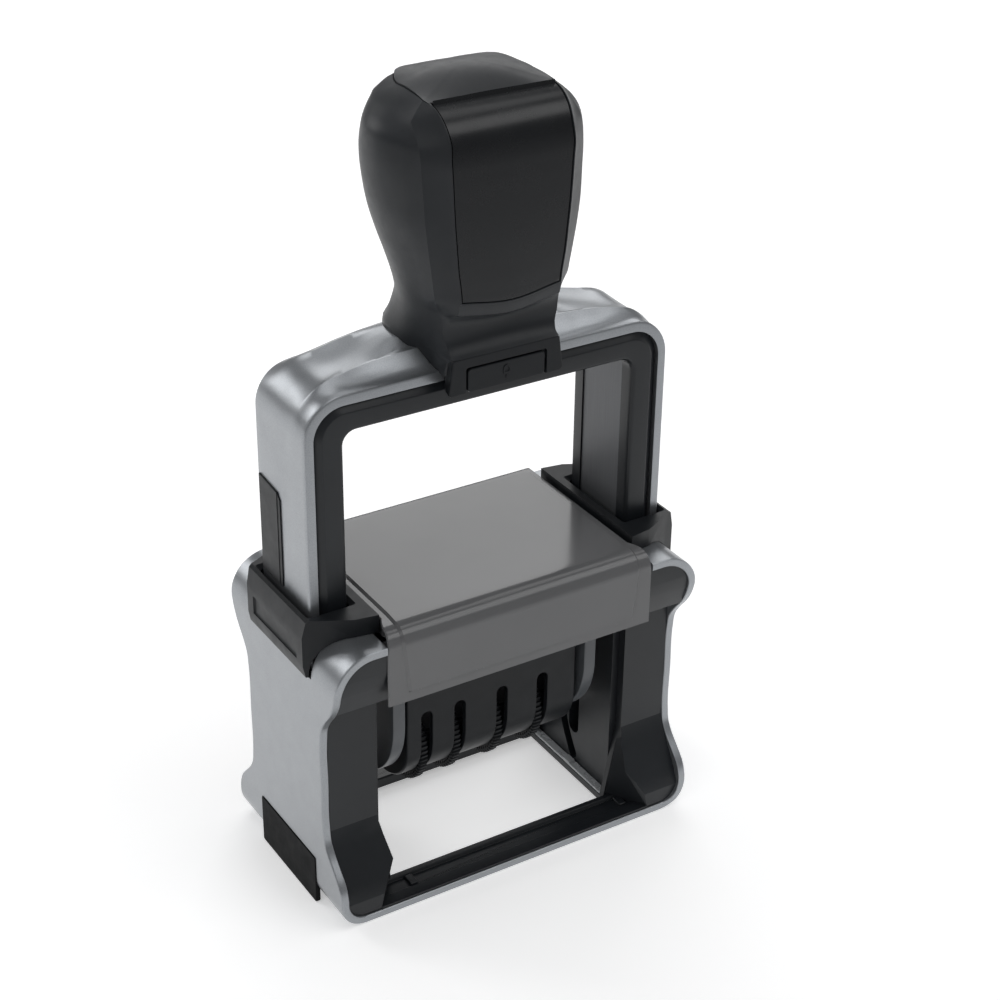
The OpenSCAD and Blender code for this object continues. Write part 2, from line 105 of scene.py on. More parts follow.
def mirrored(points):
    """The points followed by their mirror image across the first axis, in reverse order."""
    return list(points) + [(-x, y) for x, y in reversed(points)]


def area(points):
    """Area inside an outline, negative when it is clockwise."""
    p = np.array(points)
    q = np.roll(p, -1, axis=0)
    return 0.5 * float(np.sum(p[:, 0] * q[:, 1] - q[:, 0] * p[:, 1]))


def inset(points, distance):
    """The outline drawn inwards by distance; it has to be anticlockwise."""
    p = np.array(points, float)
    before = p - np.roll(p, 1, axis=0)
    after = np.roll(p, -1, axis=0) - p
    before /= np.linalg.norm(before, axis=1)[:, None]
    after /= np.linalg.norm(after, axis=1)[:, None]
    n0 = np.stack([-before[:, 1], before[:, 0]], 1)
    n1 = np.stack([-after[:, 1], after[:, 0]], 1)
    mid = n0 + n1
    scale = distance * 2 / np.maximum(np.sum(mid * mid, axis=1), 0.5)
    return p + mid * scale[:, None]


def slopes(x, y):
    """Tangents of a smooth curve through uneven samples, along the first axis."""
    step = np.diff(x)
    step = step.reshape(step.shape + (1,) * (y.ndim - 1))
    d = np.diff(y, axis=0) / step
    m = np.empty_like(y)
    m[0], m[-1] = d[0], d[-1]
    m[1:-1] = (step[1:] * d[:-1] + step[:-1] * d[1:]) / (step[1:] + step[:-1])
    return m


def hermite(t, h, y0, m0, y1, m1):
    """Cubic between two values with their slopes, at the share t of a step h."""
    return (
        (2 * t**3 - 3 * t**2 + 1) * y0
        + (t**3 - 2 * t**2 + t) * h * m0
        + (3 * t**2 - 2 * t**3) * y1
        + (t**3 - t**2) * h * m1
    )


def smooth_value(table, at):
    """Smooth curve through a table of (position, value), read at one or many positions."""
    x = np.array([row[0] for row in table], float)
    y = np.array([row[1] for row in table], float)
    m = slopes(x, y)
    at = np.clip(np.asarray(at, float), x[0], x[-1])
    i = np.clip(np.searchsorted(x, at, side="right") - 1, 0, len(x) - 2)
    h = x[i + 1] - x[i]
    t = (at - x[i]) / h
    return hermite(t, h, y[i], m[i], y[i + 1], m[i + 1])


def refine(points, hard, steps):
    """Samples smooth curves through points (k, ..., 3) along the first axis, with a turn at hard indices."""
    points = np.asarray(points, float)
    breaks = sorted({0, len(points) - 1, *hard})
    out = []
    for a, b in zip(breaks, breaks[1:]):
        part = points[a : b + 1]
        gaps = np.linalg.norm(np.diff(part, axis=0), axis=-1)
        gaps = gaps.reshape(len(gaps), -1).mean(axis=1)
        x = np.concatenate([[0], np.cumsum(np.maximum(gaps, 1e-6))])
        m = slopes(x, part)
        for i in range(len(part) - 1):
            h = x[i + 1] - x[i]
            for k in range(steps):
                out.append(hermite(k / steps, h, part[i], m[i], part[i + 1], m[i + 1]))
    out.append(points[-1])
    return np.array(out)


# ---- Meshes ----

# Points closer than this are one point, in a new mesh and after a boolean
DOUBLE = 0.001
WELD = 0.004
ROD_SIDES = 48
BEVEL_SETTINGS = ("width", "segments", "limit_method", "angle_limit", "use_clamp_overlap", "miter_outer")


def new_object(name, data):
    """An object in the scene that holds a mesh, a light or a camera."""
    obj = bpy.data.objects.new(name, data)
    bpy.context.scene.collection.objects.link(obj)
    return obj


def from_bmesh(name, bm):
    """An object made from a bmesh, which is freed."""
    mesh = bpy.data.meshes.new(name)
    bm.to_mesh(mesh)
    bm.free()
    return new_object(name, mesh)


def face_outwards(bm):
    """Turns every face of a closed mesh outwards."""
    bmesh.ops.recalc_face_normals(bm, faces=bm.faces)
    if bm.calc_volume(signed=True) < 0:
        bmesh.ops.reverse_faces(bm, faces=bm.faces)


def mesh_object(name, points, faces):
    """A closed mesh in the scene, from points in millimetres."""
    mesh = bpy.data.meshes.new(name)
    mesh.from_pydata([tuple(float(c) * MM for c in p) for p in points], [], faces)
    mesh.validate()
    bm = bmesh.new()
    bm.from_mesh(mesh)
    bmesh.ops.remove_doubles(bm, verts=bm.verts, dist=DOUBLE * MM)
    face_outwards(bm)
    bm.to_mesh(mesh)
    bm.free()
    return new_object(name, mesh)


# Where the two axes of an outline and the third axis go, for a prism drawn along each axis
PLACE = {
    "x": lambda u, v, w: (w, u, v),
    "y": lambda u, v, w: (u, w, v),
    "z": lambda u, v, w: (u, v, w),
}


def prism(name, outline, axis, low, high, rim=0.0, steps=2):
    """Closed solid of an outline drawn along an axis, its two rims rounded by rim."""
    if area(outline) < 0:
        outline = list(reversed(outline))
    place = PLACE[axis]
    rings = []
    if rim > 0:
        turns = [math.pi / 2 * k / steps for k in range(steps + 1)]
        for t in turns:
            rings.append((inset(outline, rim * (1 - math.sin(t))), low + rim * (1 - math.cos(t))))
        for t in reversed(turns):
            rings.append((inset(outline, rim * (1 - math.sin(t))), high - rim * (1 - math.cos(t))))
    else:
        rings = [(np.array(outline, float), low), (np.array(outline, float), high)]
    points = [place(u, v, w) for ring, w in rings for u, v in ring]
    return mesh_object(name, points, ring_faces(len(rings), len(outline)))


def ring_faces(rings, n):
    """Faces between rings of n points each, and over the two end rings."""
    faces = []
    for i in range(rings - 1):
        for k in range(n):
            m = (k + 1) % n
            faces.append((i * n + k, i * n + m, (i + 1) * n + m, (i + 1) * n + k))
    faces.append(tuple(reversed(range(n))))
    faces.append(tuple(range((rings - 1) * n, rings * n)))
    return faces


def loft(name, rings):
    """Closed solid through a list of rings, each with the same number of points."""
    n = len(rings[0])
    points = [p for ring in rings for p in ring]
    return mesh_object(name, points, ring_faces(len(rings), n))


def block(name, x0, x1, y0, y1, z0, z1, rim, steps=2):
    """Block with all its edges rounded."""
    r = min(rim, 0.45 * (x1 - x0), 0.45 * (y1 - y0), 0.45 * (z1 - z0))
    return prism(name, box_outline(x0, x1, y0, y1, 1.2 * r, steps + 1), "z", z0, z1, r, steps)


def rod(name, x0, x1, y, z, r, rim):
    """Round bar along X with rounded ends."""
    ring = arc(y, z, r, 0, 360, ROD_SIDES)[:-1]
    return prism(name, ring, "x", x0, x1, rim)


def apply_modifiers(obj):
    """Makes an object's modifiers part of its mesh."""
    bpy.context.view_layer.update()
    depsgraph = bpy.context.evaluated_depsgraph_get()
    mesh = bpy.data.meshes.new_from_object(obj.evaluated_get(depsgraph), depsgraph=depsgraph)
    obj.modifiers.clear()
    obj.data = mesh
    return obj


def combine(obj, tools, operation):
    """Applies booleans to obj with each tool in turn, and removes the tools."""
    for tool in tools:
        mod = obj.modifiers.new("combine", "BOOLEAN")
        mod.operation = operation
        mod.solver = "EXACT"
        mod.object = tool
    apply_modifiers(obj)
    for tool in tools:
        bpy.data.objects.remove(tool)
    return obj


def cut(obj, *tools):
    return combine(obj, tools, "DIFFERENCE")


def fuse(obj, *tools):
    return combine(obj, tools, "UNION")


def keep(obj, *tools):
    return combine(obj, tools, "INTERSECT")


def tidy_mesh(obj):
    """Joins doubled points and drops slivers that a boolean leaves."""
    bm = bmesh.new()
    bm.from_mesh(obj.data)
    bmesh.ops.remove_doubles(bm, verts=bm.verts, dist=WELD * MM)
    bmesh.ops.dissolve_degenerate(bm, edges=bm.edges, dist=WELD * MM)
    bm.to_mesh(obj.data)
    bm.free()
    return obj


def soften(obj, width, segments, angle):
    """Rounds the edges that are sharper than angle."""
    tidy_mesh(obj)
    mod = obj.modifiers.new("edges", "BEVEL")
    mod.width = width * MM
    mod.segments = segments
    mod.limit_method = "ANGLE"
    mod.angle_limit = math.radians(angle)
    mod.use_clamp_overlap = True
    mod.miter_outer = "MITER_ARC"
    return obj


def shade(obj, angle, weighted):
    """Smooth shading, with edges over angle kept sharp, and flat faces kept flat when weighted."""
    if obj.modifiers:
        apply_modifiers(obj)
    mesh = obj.data
    for polygon in mesh.polygons:
        polygon.use_smooth = True
    mesh.set_sharp_from_angle(angle=math.radians(angle))
    if weighted:
        mod = obj.modifiers.new("normals", "WEIGHTED_NORMAL")
        mod.keep_sharp = True
        mod.weight = 60
    return obj


def piece(obj, body, slot, *nodes, angle=35, weighted=True, finish=None):
    """Gives a finished mesh its material and its body unless it is None, names it after the first CAD node,
    and hides the CAD nodes it stands for.
    """
    shade(obj, angle, weighted)
    obj.name = obj.data.name = nodes[0] + "_shape"
    obj.data.materials.clear()
    obj.data.materials.append(MATERIALS[finish or slot])
    if body:
        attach(obj, body)
    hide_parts(*nodes)
    return obj


def flipped(obj, name):
    """A copy of a mesh and its bevels, mirrored from right to left."""
    mesh = obj.data.copy()
    mesh.transform(Matrix.Diagonal((-1, 1, 1, 1)))
    mesh.flip_normals()
    copy = new_object(name, mesh)
    for mod in obj.modifiers:
        if mod.type == "BEVEL":
            new = copy.modifiers.new(mod.name, "BEVEL")
            for key in BEVEL_SETTINGS:
                setattr(new, key, getattr(mod, key))
    return copy


def on_side(obj, side):
    """A piece drawn on the right: itself when side is "right", or else its mirror image in its place."""
    if side == "right":
        return obj
    left = flipped(obj, "left")
    bpy.data.objects.remove(obj)
    return left


def outline_ring(name, outline, width, axis, low, high):
    """A closed band of a width, just inside an outline."""
    outer = prism(name, outline, axis, low, high)
    inner = prism("inner", inset(outline, width), axis, low - 1, high + 1)
    return cut(outer, inner)


def joined(name, parts):
    """One object from several closed solids that don't touch."""
    bm = bmesh.new()
    for part in parts:
        if part.modifiers:
            apply_modifiers(part)
        bm.from_mesh(part.data)
        bpy.data.objects.remove(part)
    return from_bmesh(name, bm)


# ---- Materials ----


class Nodes:
    """A material's node tree, with short helpers."""

    def __init__(self, name):
        self.material = bpy.data.materials.new(name + "_finish")
        self.material.use_nodes = True
        self.tree = self.material.node_tree
        self.shader = self.tree.nodes["Principled BSDF"]
        self.coords = self.tree.nodes.new("ShaderNodeTexCoord").outputs["Object"]

    def link(self, a, b):
        self.tree.links.new(a, b)

    def noise(self, scale, detail, rough, stretch=None):
        node = self.tree.nodes.new("ShaderNodeTexNoise")
        node.inputs["Scale"].default_value = scale
        node.inputs["Detail"].default_value = detail
        node.inputs["Roughness"].default_value = rough
        source = self.coords
        if stretch:
            mapping = self.tree.nodes.new("ShaderNodeMapping")
            mapping.inputs["Scale"].default_value = stretch
            self.link(source, mapping.inputs["Vector"])
            source = mapping.outputs["Vector"]
        self.link(source, node.inputs["Vector"])
        return node.outputs["Fac"]

    def cells(self, scale):
        node = self.tree.nodes.new("ShaderNodeTexVoronoi")
        node.inputs["Scale"].default_value = scale
        self.link(self.coords, node.inputs["Vector"])
        return node.outputs["Distance"]

    def remap(self, source, low, high, start=0.3, end=0.7):
        node = self.tree.nodes.new("ShaderNodeMapRange")
        node.inputs["From Min"].default_value = start
        node.inputs["From Max"].default_value = end
        node.inputs["To Min"].default_value = low
        node.inputs["To Max"].default_value = high
        self.link(source, node.inputs["Value"])
        return node.outputs["Result"]

    def colours(self, source, dark, light, start=0.3, end=0.7):
        ramp = self.tree.nodes.new("ShaderNodeValToRGB")
        ramp.color_ramp.elements[0].position = start
        ramp.color_ramp.elements[0].color = (*dark, 1)
        ramp.color_ramp.elements[1].position = end
        ramp.color_ramp.elements[1].color = (*light, 1)
        self.link(source, ramp.inputs["Fac"])
        self.link(ramp.outputs["Color"], self.shader.inputs["Base Color"])

    def roughness(self, source, low, high):
        self.link(self.remap(source, low, high), self.shader.inputs["Roughness"])

    def bump(self, source, height, strength=1.0):
        node = self.tree.nodes.new("ShaderNodeBump")
        node.inputs["Strength"].default_value = strength
        node.inputs["Distance"].default_value = height * MM
        self.link(source, node.inputs["Height"])
        self.link(node.outputs["Normal"], self.shader.inputs["Normal"])

    def set(self, **values):
        for key, value in values.items():
            self.shader.inputs[key.replace("_", " ")].default_value = value


def tint(colour, factor):
    """A colour made darker or lighter."""
    return tuple(min(1.0, c * factor) for c in colour)


def three_noises(name, tone, dark, light, gloss, low, high, grain, height, **values):
    """A finish with a noise of its own for colour, for gloss and for grain."""
    m = Nodes(name)
    m.colours(m.noise(*tone), dark, light)
    m.roughness(m.noise(*gloss), low, high)
    m.bump(m.noise(*grain), height)
    m.set(**values)
    return m.material


def one_noise(name, noise, dark, light, low, high, height, strength, **values):
    """A finish whose colour, gloss and grain follow one noise."""
    m = Nodes(name)
    lines = m.noise(*noise)
    m.colours(lines, dark, light)
    m.roughness(lines, low, high)
    m.bump(lines, height, strength)
    m.set(**values)
    return m.material


def moulded(name, colour, rough, grain, grain_scale=5200, spread=0.05, specular=0.5):
    """Moulded plastic: a fine spark-eroded grain, faint flow marks and uneven gloss."""
    return three_noises(
        name, (38, 4, 0.55), tint(colour, 0.86), tint(colour, 1.16), (260, 5, 0.6),
        rough - spread, rough + spread, (grain_scale, 2, 0.6), grain, Specular_IOR_Level=specular)


def rubber(name, dark, light, rough, specular=0.35):
    """Matt rubber with a dusty surface."""
    return three_noises(
        name, (800, 6, 0.7), dark, light, (300, 4, 0.6),
        rough - 0.06, rough + 0.06, (5200, 3, 0.7), 0.006, Specular_IOR_Level=specular)


def silver_lacquer():
    """Metallic lacquer: fine flake under a satin clear coat."""
    m = Nodes("silver")
    flake = m.cells(6500)
    m.colours(flake, (0.245, 0.258, 0.275), (0.325, 0.34, 0.358), 0.05, 0.6)
    m.roughness(m.noise(180, 5, 0.6), 0.30, 0.38)
    m.bump(m.noise(4200, 2, 0.5), 0.0018)
    m.set(Metallic=0.78, Specular_IOR_Level=0.5, Coat_Weight=0.25, Coat_Roughness=0.22)
    return m.material


MATERIALS = {
    "silver": silver_lacquer(),
    "black_plastic": moulded("black_plastic", (0.0095, 0.0110, 0.0130), 0.42, 0.0022, specular=0.24),
    "satin_black": moulded("satin_black", (0.0115, 0.0135, 0.0160), 0.34, 0.0010, 3600, 0.03, specular=0.36),
    "gloss_black": moulded("gloss_black", (0.006, 0.007, 0.0085), 0.26, 0.0004, 2500, 0.03, 0.42),
    # Soft-touch coat: matt, with a faint sheen
    "soft_grip": three_noises(
        "soft_grip", (45, 4, 0.6), (0.0105, 0.0125, 0.015), (0.015, 0.0175, 0.021), (500, 5, 0.65),
        0.40, 0.48, (7000, 3, 0.7), 0.004, Specular_IOR_Level=0.36, Sheen_Weight=0.04, Sheen_Roughness=0.5),
    # Smoke-tinted plastic that lets a little light through
    "smoke_cover": three_noises(
        "smoke_cover", (30, 3, 0.5), (0.150, 0.151, 0.155), (0.168, 0.169, 0.173), (90, 4, 0.6), 0.12, 0.18,
        (900, 2, 0.5), 0.0015, Transmission_Weight=0.22, IOR=1.49, Specular_IOR_Level=0.5),
    # Cloudy clear plastic
    "clear_strip": three_noises(
        "clear_strip", (120, 3, 0.5), (0.58, 0.60, 0.62), (0.70, 0.72, 0.74), (300, 4, 0.6), 0.22, 0.34,
        (2500, 2, 0.5), 0.002, Transmission_Weight=0.35, IOR=1.49),
    # Steel with turning marks round the X axis
    "steel": one_noise(
        "steel", (900, 4, 0.6, (0.15, 6, 6)), (0.42, 0.43, 0.45), (0.60, 0.61, 0.63), 0.22, 0.36,
        0.004, 1.0, Metallic=1.0),
    # Extruded core with lines along its length
    "core_grey": one_noise(
        "core_grey", (700, 4, 0.6, (6, 6, 0.1)), (0.090, 0.094, 0.100), (0.125, 0.129, 0.136), 0.34, 0.46,
        0.003, 1.0, Metallic=0.35),
    # Felt soaked in dark blue ink
    "ink_felt": one_noise(
        "ink_felt", (2600, 6, 0.8), (0.010, 0.012, 0.045), (0.030, 0.035, 0.10), 0.62, 0.85,
        0.05, 0.9, Sheen_Weight=0.4, Sheen_Roughness=0.6),
    "die_rubber": rubber("die_rubber", (0.26, 0.035, 0.03), (0.36, 0.055, 0.045), 0.62),
    "band_rubber": rubber("band_rubber", (0.035, 0.036, 0.040), (0.055, 0.056, 0.060), 0.58),
    "insert_rubber": rubber(
        "insert_rubber", (0.003, 0.0033, 0.004), (0.005, 0.0055, 0.006), 0.66, specular=0.12),
    "flange_grey": moulded("flange_grey", (0.085, 0.092, 0.100), 0.36, 0.002),
}

# ---- Grip ----

SADDLE = Span("saddle_block")
ARCH = Span("arch_shell")
CREASE_Y = -8.8
CREASE_Z = 169.8
CROWN_Y = 1.2
CROWN_Z = 173

# Key lines of the grip, front centre first, then round the right side to the rear centre.
# Each row is (x, y, z); the rows run from inside the saddle up to the rim of the cap.
CENTRE = [
    (0, -14.8, 116), (0, -14.8, 119.2), (0, -15.4, 120.35), (0, -14.4, 121.1), (0, -13.2, 122.6),
    (0, -12.8, 124.6), (0, -13.1, 126.5), (0, -14.2, 127.7), (0, -16.3, 128.5), (0, -16.8, 130.8),
    (0, -16.9, 133.8), (0, -16.95, 138.4), (0, -17, 143), (0, -17, 148), (0, -17, 153),
    (0, -17, 157), (0, -16.9, 161), (0, -16.4, 163.8), (0, -14.9, 166.6), (0, -12.6, 168.6),
    (0, -10.6, 169.4), (0, CREASE_Y, CREASE_Z),
]
PANEL_EDGE = [
    (10.6, -14.8, 116), (10.6, -14.8, 119.2), (11, -15.4, 120.4), (10.9, -14.4, 121.1), (10.9, -13.3, 122.7),
    (11, -13, 124.9), (11.2, -13.2, 127.2), (11.5, -14.2, 129), (11.4, -16.1, 130), (11.4, -16.6, 132.3),
    (11.6, -16.7, 134.8), (12.2, -16.8, 139), (12.6, -16.85, 143.4), (13, -16.9, 148), (13.3, -16.9, 153),
    (13.5, -16.9, 157), (13.7, -16.8, 161), (13.5, -16.3, 163.8), (13.65, -14.8, 166.6),
    (13.75, -12.5, 168.6), (13.8, -10.6, 169.4), (13.8, CREASE_Y, CREASE_Z),
]
FACET_EDGE = [
    (12.2, -12, 116), (12.1, -13.2, 119.2), (12.2, -15, 120.3), (12, -14.2, 121.1), (12.3, -13.3, 122.7),
    (12.9, -13, 124.9), (13.1, -13, 127), (13.35, -13, 128.8), (13.6, -13, 130), (14.8, -13.4, 132.4),
    (15.3, -13.5, 135), (15.9, -13.7, 139), (16.5, -13.8, 143), (17.1, -13.8, 148), (17.4, -13.6, 153),
    (17.6, -13.4, 157), (17.7, -13.1, 161), (17.7, -12.2, 163.6), (17.2, -8.8, 166.8), (16.2, -8.3, 167.9),
    (15.1, -7.9, 169), (14, -7.6, 169.95),
]
CHEEK_FRONT = [
    (12.6, -9.4, 116), (12.8, -9.4, 119), (13.2, -9, 120.6), (13.6, -8.9, 121.6), (14, -9.3, 123),
    (14.3, -9.6, 125), (14.5, -9.9, 127), (14.7, -10, 128.7), (14.8, -10.1, 129.8), (15.4, -9.7, 132),
    (15.9, -9.9, 134.5), (16.8, -10.1, 138.6), (17.9, -10.3, 143), (19.2, -10.4, 148), (19.6, -10.2, 153),
    (19.9, -10, 157), (19.8, -9.6, 161), (19.6, -8.6, 164), (17.6, -5.8, 167.1), (16.4, -5.5, 168.2),
    (15.1, -5.2, 169.2), (13.75, -5, 170.05),
]
CHEEK_WIDE = [
    (16.3, -3, 116), (16.3, -3, 119), (16.4, -3, 120.6), (16.4, -3, 121.6), (16.3, -3, 123),
    (16.1, -3, 125), (16, -3, 127), (16, -3, 128.6), (16.1, -3, 129.6), (16.5, -3, 131.8),
    (17.1, -3, 134.4), (18.3, -3, 138.5), (19.8, -3, 143), (21.1, -3, 148), (21.9, -3, 153),
    (22.2, -3, 157), (22.1, -3, 161), (21.4, -2.4, 164.4), (18.2, -0.6, 167.6), (16.8, -0.5, 168.6),
    (15.3, -0.4, 169.5), (13.7, -0.4, 170.3),
]
CHEEK_REAR = [
    (16, 4.5, 116), (16, 4.5, 119), (16.2, 4.5, 120.6), (16.2, 4.5, 121.8), (15.7, 4.5, 123.2),
    (15, 4.5, 125), (14.4, 4.4, 127), (14, 4.3, 128.6), (13.9, 4.3, 129.6), (14.2, 4.4, 131.8),
    (14.9, 4.5, 134.4), (16.3, 4.6, 138.5), (17.9, 4.7, 143), (19.4, 4.8, 148), (20.3, 4.9, 153),
    (20.7, 5, 157), (20.6, 5, 161), (19.9, 4.9, 164.4), (17.4, 5.4, 167.7), (16.1, 5, 168.7),
    (14.8, 4.4, 169.5), (13.5, 3.8, 170.2),
]
REAR_CORNER = [
    (12.6, 10.4, 116), (12.6, 10.4, 119), (12.8, 10.5, 120.6), (12.6, 10.2, 121.8), (12, 9.6, 123.2),
    (11.3, 8.9, 125), (10.7, 8.4, 127), (10.3, 8.2, 128.6), (10.2, 8.2, 129.6), (10.4, 8.4, 131.8),
    (10.9, 8.8, 134.4), (12, 9.7, 138.5), (13, 10.5, 143), (13.9, 11.1, 148), (14.4, 11.4, 153),
    (14.6, 11.5, 157), (14.6, 11.5, 161), (14.6, 11.3, 164.4), (13.9, 10.4, 167.6), (13, 9.6, 168.8),
    (12.2, 8.9, 169.7), (11.2, 8.1, 170.4),
]
REAR = [
    (0, 12.6, 116), (0, 12.6, 119), (0, 12.6, 120.6), (0, 12.2, 121.8), (0, 11.5, 123.2),
    (0, 10.9, 125), (0, 10.5, 127), (0, 10.4, 128.6), (0, 10.4, 129.6), (0, 10.7, 131.8),
    (0, 11.2, 134.4), (0, 12.3, 138.5), (0, 13.4, 143), (0, 14.3, 148), (0, 14.9, 153),
    (0, 15.1, 157), (0, 15.1, 161), (0, 14.9, 164), (0, 14.5, 165.9), (0, 13.4, 167.6),
    (0, 12.4, 168.9), (0, 11.6, 169.8),
]
GRIP_LINES = [CENTRE, PANEL_EDGE, FACET_EDGE, CHEEK_FRONT, CHEEK_WIDE, CHEEK_REAR, REAR_CORNER, REAR]
PANEL_HARD_ROWS = (2, 7, 8, 21)
SIDE_HARD_ROWS = (2, 7, 18, 21)
PANEL_ROW = 9
ROW_STEPS = 4
COLUMN_STEPS = 6


def grip_grid():
    """Points of the grip's surface: rows up, columns right round, and the columns of the panel's edge."""
    table = np.array(GRIP_LINES, float).transpose(1, 0, 2)
    panel_rows = refine(table[:, :2], PANEL_HARD_ROWS, ROW_STEPS)
    side_rows = refine(table[:, 2:], SIDE_HARD_ROWS, ROW_STEPS)
    lines = np.concatenate([panel_rows, side_rows], axis=1).transpose(1, 0, 2)
    mirror = lines * np.array([-1, 1, 1])
    around = np.concatenate([mirror[:0:-1], lines])
    last = len(GRIP_LINES) - 1
    hard = [last - 2, last - 1, last + 1, last + 2]
    ring = refine(around, hard, COLUMN_STEPS)[:-1]
    left, right = (last - 1) * COLUMN_STEPS, (last + 1) * COLUMN_STEPS
    facets = ((last - 2) * COLUMN_STEPS, (last + 2) * COLUMN_STEPS)
    return ring.transpose(1, 0, 2), left, right, facets


def sunk_panel(obj, is_panel, lip, gap, depth):
    """Raises a thin lip round a region of faces, and sinks the region inside it behind a gap."""
    bm = bmesh.new()
    bm.from_mesh(obj.data)
    bm.faces.ensure_lookup_table()
    region = [f for f in bm.faces if f.index in is_panel]
    half_lip = lip * 0.5
    for width, rise in ((half_lip, half_lip), (half_lip, 0), (gap, -depth)):
        bmesh.ops.inset_region(bm, faces=region, thickness=width * MM, depth=rise * MM, use_even_offset=True)
    bm.to_mesh(obj.data)
    bm.free()


def panel_shell(source, is_panel, name, margin, lift, thickness):
    """A closed thin shell over a region of a mesh, drawn in by margin and lifted."""
    bm = bmesh.new()
    bm.from_mesh(source.data)
    bm.faces.ensure_lookup_table()
    others = [f for f in bm.faces if f.index not in is_panel]
    bmesh.ops.delete(bm, geom=others, context="FACES")
    ring = bmesh.ops.inset_region(
        bm, faces=bm.faces[:], thickness=margin * MM, depth=0, use_even_offset=True, use_boundary=True)
    bmesh.ops.delete(bm, geom=ring["faces"], context="FACES")
    bm.normal_update()
    for v in bm.verts:
        v.co += v.normal * lift * MM
    bm.normal_update()
    lower = {tuple(v.co): v.co - v.normal * thickness * MM for v in bm.verts}
    result = bmesh.ops.extrude_face_region(bm, geom=bm.faces[:], use_keep_orig=True)
    for v in result["geom"]:
        if isinstance(v, bmesh.types.BMVert):
            v.co = lower[tuple(v.co)]
    face_outwards(bm)
    return from_bmesh(name, bm)


def crown_z(x, y, rim_z, share):
    """Height of the cap inside its rim; share is 1 on the rim and 0 at the crown."""
    across = min(1.0, abs(x / 14.2) ** 2.2)
    along = min(1.0, ((y - CROWN_Y) / 10.2) ** 2)
    return CREASE_Z + (rim_z - CREASE_Z) * share**2 + (CROWN_Z - CREASE_Z) * (1 - across) * (1 - along)


def cap_rings(rim, gap, shares):
    """Rings over the crown, each a share of the rim, which is drawn in by gap."""
    centre = np.array([0, CROWN_Y])
    rings = []
    for s in shares:
        ring = []
        for x, y, z in rim:
            offset = np.array([x, y]) - centre
            offset *= (1 - gap / np.linalg.norm(offset)) * s
            at = centre + offset
            ring.append((*at, crown_z(*at, z, s)))
        rings.append(ring)
    return rings


def mark_sharp(obj, points):
    """Keeps the edges between the given points sharp."""
    on_line = [tuple(round(c / MM, 2) for c in v.co) in points for v in obj.data.vertices]
    for edge in obj.data.edges:
        if on_line[edge.vertices[0]] and on_line[edge.vertices[1]]:
            edge.use_edge_sharp = True


def make_grip():
    """The grip's body with its sunk panel, and the cap on its rim."""
    grid, left, right, side_columns = grip_grid()
    rows, columns = grid.shape[:2]
    rim = grid[-1]
    seat = [(x * 0.985, (y - CROWN_Y) * 0.985 + CROWN_Y, z - 1.2) for x, y, z in rim]
    rings = [list(r) for r in grid] + [seat]
    body = loft("grip", rings)
    first = PANEL_ROW * ROW_STEPS
    region = {i * columns + k for i in range(first, rows - 1) for k in range(left, right)}
    panel = panel_shell(body, region, "panel", 0.62, 0.05, 0.9)
    soften(panel, 0.22, 2, 50)
    piece(panel, "press_frame", "gloss_black", "label_panel", angle=40)
    sunk_panel(body, region, 0.35, 0.12, 0.9)
    piece(body, "press_frame", "soft_grip", "grip_body", angle=24, weighted=False)
    creases = {tuple(round(float(c), 2) for c in p) for column in side_columns for p in grid[first:, column]}
    mark_sharp(body, creases)
    top = cap_rings(rim, 0.22, (1, 0.97, 0.92, 0.84, 0.75, 0.65, 0.55, 0.45, 0.35, 0.25, 0.16, 0.08, 0.02))
    edge = top[0]
    lower = [(x, y, z - 0.9) for x, y, z in edge]
    side = [(x, y, z - 0.15) for x, y, z in edge]
    cap = loft("grip_cap", [lower, side, *top])
    piece(cap, "press_frame", "soft_grip", "grip_cap", angle=50, weighted=False)


make_grip()

# ---- Saddle block and push button ----

BUTTON = Span("lock_button")
TRIM = Span("arch_trim_front")
BLOCK_TOP = 120.4
BLOCK_BOTTOM = 112.8
BLOCK_TOP_HALF = 12.2
BLOCK_BOTTOM_HALF = 13.1
BLOCK_REAR_HALF = 11.3


def saddle_half(side):
    """Half of the saddle in front of or behind the arch: a wedge that narrows towards the arch."""
    face, back = SADDLE.y1 if side < 0 else TRIM_FRONT + 1.6, TRIM_FRONT + 0.03
    middle = 0.5 * (face + back)

    def ring(y, low_half, top_half, bottom, top):
        outline = mirrored([
            (0.5 * low_half, bottom), (low_half - 0.5, bottom), (low_half, bottom + 0.5),
            (0.5 * (low_half + top_half), 0.5 * (bottom + top)), (top_half, top - 0.3), (top_half - 0.3, top),
            (0.5 * top_half, top),
        ])
        return [(x, side * y, z) for x, z in outline]

    low, high = BLOCK_BOTTOM_HALF, BLOCK_TOP_HALF
    return loft("saddle_part", [
        ring(back, BLOCK_REAR_HALF, BLOCK_REAR_HALF - 0.3, BLOCK_BOTTOM + 0.1, BLOCK_TOP - 0.2),
        ring(middle, low - 0.6, high - 0.5, BLOCK_BOTTOM, BLOCK_TOP),
        ring(face - 0.35, low, high, BLOCK_BOTTOM, BLOCK_TOP),
        ring(face - 0.08, low - 0.08, high - 0.08, BLOCK_BOTTOM + 0.1, BLOCK_TOP - 0.05),
        ring(face, low - 0.35, high - 0.35, BLOCK_BOTTOM + 0.35, BLOCK_TOP - 0.25),
    ])


